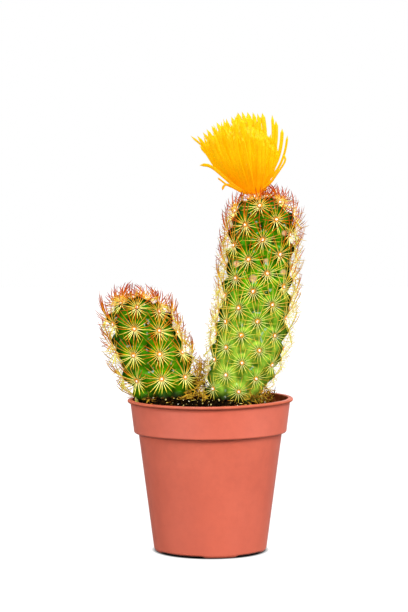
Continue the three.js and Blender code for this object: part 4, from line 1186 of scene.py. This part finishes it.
    def build_areoles(self, areoles, cushion_stuff, wool_stuff):
        """The orange cushion of every areole, and the white wool in its middle."""
        draw = self.draw
        cushions = Pile()
        tones = np.repeat([tone for _, _, tone in CUSHION_PROFILE], CUSHION_SIDES)
        faces = closed_faces(len(CUSHION_PROFILE), CUSHION_SIDES)
        fibres, radii = [], []
        t = np.linspace(0, 1, WOOL_RINGS)
        for k in areoles:
            tip = self.tips[k]
            normal, round_it, up = self.axes_at(k)
            size = BUTTON_RADIUS * draw.uniform(0.92, 1.12)
            rim = turned(round_it, up, ring_turns(CUSHION_SIDES))
            cushions.add([tip + rim * share * size + normal * rise
                          for share, rise, _ in CUSHION_PROFILE], faces, along=tones)
            for j in range(WOOL_FIBRES):
                outward = turned(round_it, up, draw.uniform(0, 2 * math.pi))
                is_tuft = j < WOOL_TUFTS
                spread = size * (0.34 if is_tuft else 0.56 * math.sqrt(draw.random()))
                way = unit(normal + outward * draw.uniform(-0.2, 0.8))
                root = tip + outward * spread + normal * 0.02
                length = WOOL_TUFT_LENGTH if is_tuft else draw.uniform(0.3, 0.5)
                sway = (round_it * draw.uniform(-1, 1) + up * draw.uniform(-1, 1)) * 0.4
                fibres.append(bent_line(root, way, length, sway, WOOL_RINGS))
                radii.append(WOOL_TUFT_RADIUS * np.sqrt(1 - 0.9 * t**2) if is_tuft
                             else WOOL_FIBRE_RADIUS * (1 - 0.8 * t))
        cushions.make(f"{self.name}_areoles", cushion_stuff)
        make_tubes(f"{self.name}_wool", fibres, radii, THIN_SIDES, wool_stuff, "stem")


# Bloom

def bloom_axes():
    """The bloom's own axis, and its right-hand and back sides."""
    left = math.sin(BLOOM_LEAN_LEFT * RAD)
    forward = math.sin(BLOOM_LEAN_FORWARD * RAD)
    axis = unit(np.array([-left, -forward, 1]))
    right = np.array([1.0, 0, 0])
    right = unit(right - axis * np.dot(right, axis))
    return axis, right, np.cross(axis, right)


def core_point(polar, angle):
    """A point of the crown of the cup that the petals stand in."""
    axis, right, back = bloom_axes()
    height = CORE_WAIST_HEIGHT + CORE_CROWN * math.cos(polar)
    bearing = turned(right, back, angle)
    return np.array(BLOOM_FOOT) + bearing * CORE_RADIUS * math.sin(polar) + axis * height


def petal_path(root, ways, length):
    """A petal's line: short steps from its root, each along its own way."""
    steps = unit(ways) * length / (len(ways) - 1)
    return root + np.concatenate([[np.zeros(3)], np.cumsum(steps[1:], axis=0)])


def rounded_tip(t, start):
    """The share of its width that a petal has along it, rounded off from a start."""
    past = np.maximum(0, (t - start) / (1 - start))
    return np.sqrt(np.clip(1 - past**2, 0, 1))


def petal_length(index, outer, right_share, front_share, reach):
    """The length of a petal by its place in the fan. reach is its drawn share, 0 to 1."""
    size = lerp(0.77, 0.63, right_share) + lerp(0.13, 0.06, right_share) * reach
    if index % LONG_PETAL_EVERY == 0 and right_share < 0.3:
        size = 0.89 + 0.09 * reach
    if outer < CENTRE_SHARE:
        size = 0.83 + 0.12 * reach
    shortening = (1 - SHORTEST_ON_RIGHT) * outer**4 * right_share
    return PETAL_LENGTH * size * (1 - shortening) * (1 + FRONT_STRETCH * front_share * outer)


def fan_petal(index, draw):
    """A petal of the fan: its line, half width, half thickness, fold, side and tone."""
    axis, right, back = bloom_axes()
    t = np.linspace(0, 1, PETAL_RINGS)
    share = (index + 0.5) / PETALS
    polar = math.acos(1 - share * (1 - math.cos(BASE_SPREAD * RAD)))
    angle = index * GOLDEN_ANGLE
    outer = polar / (BASE_SPREAD * RAD)
    right_share = ((1 + math.cos(angle)) / 2) ** 1.5
    front_share = ((1 - math.sin(angle)) / 2) ** 2
    length = petal_length(index, outer, right_share, front_share, draw.random())
    outward = turned(right, back, angle)
    across = turned(back, -right, angle)
    lean = lerp(FAN_START, FAN_END, smooth(t * 1.15)) * outer * RAD
    lean = lean * (1 - FRONT_UPRIGHT * front_share) * (1 - RIGHT_UPRIGHT * right_share)
    lean = lean + draw.uniform(-3, 3) * RAD + draw.uniform(-0.1, 0.1) * t**2
    sway = draw.uniform(-0.08, 0.08) + draw.uniform(-0.2, 0.2) * t**3
    ways = turned(axis, outward, lean) + across * sway[:, None]
    path = petal_path(core_point(polar, angle) - ways[0] * 0.5, ways, length)
    if outer > HUGGING_SHARE:
        hug = np.array(HUG)
        below = np.array(BLOOM_FOOT) + outward * hug[:, :1] + axis * hug[:, 1:]
        path = resampled(np.concatenate([below, path[2:]]), t)
    half_width = PETAL_WIDTH / 2 * draw.uniform(0.75, 1.2)
    shape = lerp(0.7, 1, smooth(t / 0.35)) * (1 - 0.15 * smooth((t - 0.45) / 0.35))
    shape = shape * rounded_tip(t, 0.9)
    half_thickness = PETAL_THICKNESS / 2 * lerp(1.4, 0.8, t)
    fold = draw.uniform(0, PETAL_FOLD) * shape
    # The petals of the two flanks dry with their faces turned to the front and the back.
    flank_turn = 0.9 * outer * math.cos(angle) ** 2 * (1 if index % 2 else -1)
    twist = draw.uniform(-0.3, 0.3) * t + draw.uniform(-0.12, 0.12) + flank_turn
    side = turned(across, outward, twist)
    return path, half_width * shape, half_thickness, fold, side, draw.random()


def outline_petal(tip_x, tip_z, draw):
    """The line of a petal from the cup to a tip, bowed out a little. y is from the foot."""
    foot_x, _, foot_z = BLOOM_FOOT
    chord = math.degrees(math.atan2(tip_x - foot_x, tip_z - foot_z - CORE_WAIST_HEIGHT))
    lean = (1.35 * chord + 12) * RAD
    root = np.array([foot_x + 3.4 * math.sin(lean), -1.0, foot_z + 2 + 2 * math.cos(lean)])
    tip = np.array([tip_x, draw.uniform(-3, 1), tip_z])
    way = np.array([math.sin(lean), 0, math.cos(lean)])
    middle = root + np.linalg.norm(tip - root) * 0.5 * way
    t = np.linspace(0, 1, 8)[:, None]
    return (1 - t) ** 2 * root + 2 * t * (1 - t) * middle + t**2 * tip


def loose_petal(line, width):
    """A petal along a line of its own, with the same values as one of the fan."""
    t = np.linspace(0, 1, PETAL_RINGS)
    path = resampled(np.array(line) + (0, BLOOM_FOOT[1], 0), t)
    for _ in range(2):
        path[1:-1] = (path[:-2] + 2 * path[1:-1] + path[2:]) / 4
    tip = rounded_tip(t, 0.93)
    side = np.cross(np.gradient(path, axis=0), [0, 1, 0.3])
    return path, width / 2 * tip, np.full(PETAL_RINGS, PETAL_THICKNESS / 2), 0.05 * tip, side, 0.6


def build_petals(material):
    draw = np.random.default_rng(5)
    petals = [fan_petal(index, draw) for index in range(PETALS)]
    outline = [(outline_petal(x, z, draw), width) for x, z, width in OUTLINE_PETALS]
    petals += [loose_petal(line, width) for line, width in STRAY_PETALS + outline]
    paths, widths, thicknesses, folds, sides, tones = (np.array(kind) for kind in zip(*petals))
    flat = {"side": sides, "thickness": thicknesses, "fold": folds}
    points, faces, _ = tube_mesh(paths, widths, PETAL_SIDES, flat)
    tone = np.repeat(tones, len(points) // len(paths))
    values = {"rise": share_of_bloom(points), "tone": tone}
    make_piece("bloom_petals", points, faces, material, values, ["bloom"])


def share_of_bloom(points):
    """How high points are in the bloom, from 0 at its foot to 1 at its top."""
    return np.clip((points[:, 2] - BLOOM_FOOT[2]) / BLOOM_HEIGHT, 0, 1)


def build_cup(material):
    """The cup that holds the petals: a turned bowl with a ribbed, scaly side."""
    axis, right, back = bloom_axes()
    turns = ring_turns(CUP_SIDES)
    bearing = turned(right, back, turns)
    rings = []
    for radius, height in CUP_PROFILE:
        ribbed = radius * (1 + CUP_RIB_DEPTH * np.cos(CUP_RIBS * turns + 2.2 * height))
        rings.append(np.array(BLOOM_FOOT) + bearing * ribbed[:, None] + axis * height)
    points = np.concatenate(rings)
    values = {"rise": share_of_bloom(points), "tone": np.full(len(points), 0.2)}
    make_piece("bloom_cup", points, closed_faces(len(rings), CUP_SIDES), material, values)


# Studio

def build_floor():
    """A floor that looks white save for the thin line of shade under the foot of the pot."""
    mesh = bpy.data.meshes.new("floor")
    reach = FLOOR_REACH
    mesh.from_pydata([(-reach, -reach, 0), (reach, -reach, 0), (reach, reach, 0),
                      (-reach, reach, 0)], [], [(0, 1, 2, 3)])
    floor = bpy.data.objects.new("floor", mesh)
    nodes = surface("floor_white", 0.9, Specular_IOR_Level=0.1, Emission_Color=(1, 1, 1))
    seen = nodes.add("LightPath", {}, "Is Camera Ray")
    away = nodes.add("VectorMath", {0: nodes.place()}, "Value", operation="LENGTH")
    clear = nodes.span(away, 0, 1, *SHADE_FADE)
    # Painted shade: near the pot the floor is darker and does not glow.
    nodes.feed(Base_Color=nodes.mix(clear, (0.02, 0.02, 0.02), (0.06, 0.06, 0.06)),
               Emission_Strength=nodes.add("Math", {0: seen, 1: clear}, "Value",
                                           operation="MULTIPLY"))
    mesh.materials.append(nodes.owner)
    bpy.context.scene.collection.objects.link(floor)


def build_surround():
    """A backdrop that is white to the camera and in reflections, and dimmer as a light."""
    world = bpy.data.worlds.new("surround")
    nodes = Nodes(world, "Background")
    bright = nodes.add("Math", {0: nodes.add("LightPath", {}, "Is Camera Ray"),
                                1: nodes.add("LightPath", {}, "Is Glossy Ray")}, "Value",
                       operation="MAXIMUM")
    nodes.feed(Color=(1, 1, 1), Strength=nodes.span(bright, 0.34, 1.0))
    bpy.context.scene.world = world


def build_suns():
    """A soft key light from the front right, fills from both sides, and a weak back light."""
    for name, tilt, turn, strength, width in SUNS:
        light = bpy.data.lights.new(name, "SUN")
        light.energy = strength
        light.angle = width * RAD
        lamp = bpy.data.objects.new(name, light)
        lamp.rotation_euler = (tilt * RAD, 0, turn * RAD)
        lamp.visible_diffuse = name != "glint"
        bpy.context.scene.collection.objects.link(lamp)


def build_camera():
    data = bpy.data.cameras.new("camera")
    data.sensor_fit = "VERTICAL"
    data.sensor_height = CAMERA_FILM
    data.lens = CAMERA_LENS
    data.clip_end = CAMERA_REACH
    camera = bpy.data.objects.new("camera", data)
    camera.location = [v * MM for v in CAMERA_PLACE]
    camera.rotation_euler = [(90 - CAMERA_PITCH) * RAD, 0, 0]
    bpy.context.scene.collection.objects.link(camera)
    bpy.context.scene.camera = camera


build_camera()
build_floor()
build_surround()
build_suns()
bpy.context.scene.view_settings.view_transform = "Standard"

tall = Stem(TALL_STEM)
short = Stem(SHORT_STEM)
spine_stuff = spine_material()
wool_stuff = wool_material()
cushion_stuff = cushion_material()
build_pot()
build_soil()
build_soil_litter([tall, short], spine_stuff)
for stem, hidden_by in ((tall, BLOOM_FOOT), (short, None)):
    stem.build_body(skin_material(f"skin_{stem.spec['name']}", *stem.spec["skin"]))
    shown = stem.shown(hidden_by)
    stem.build_spines(shown, spine_stuff)
    stem.build_areoles(shown, cushion_stuff, wool_stuff)
build_old_spines(old_spine_material())
petal_stuff = petal_material()
build_petals(petal_stuff)
build_cup(petal_stuff)
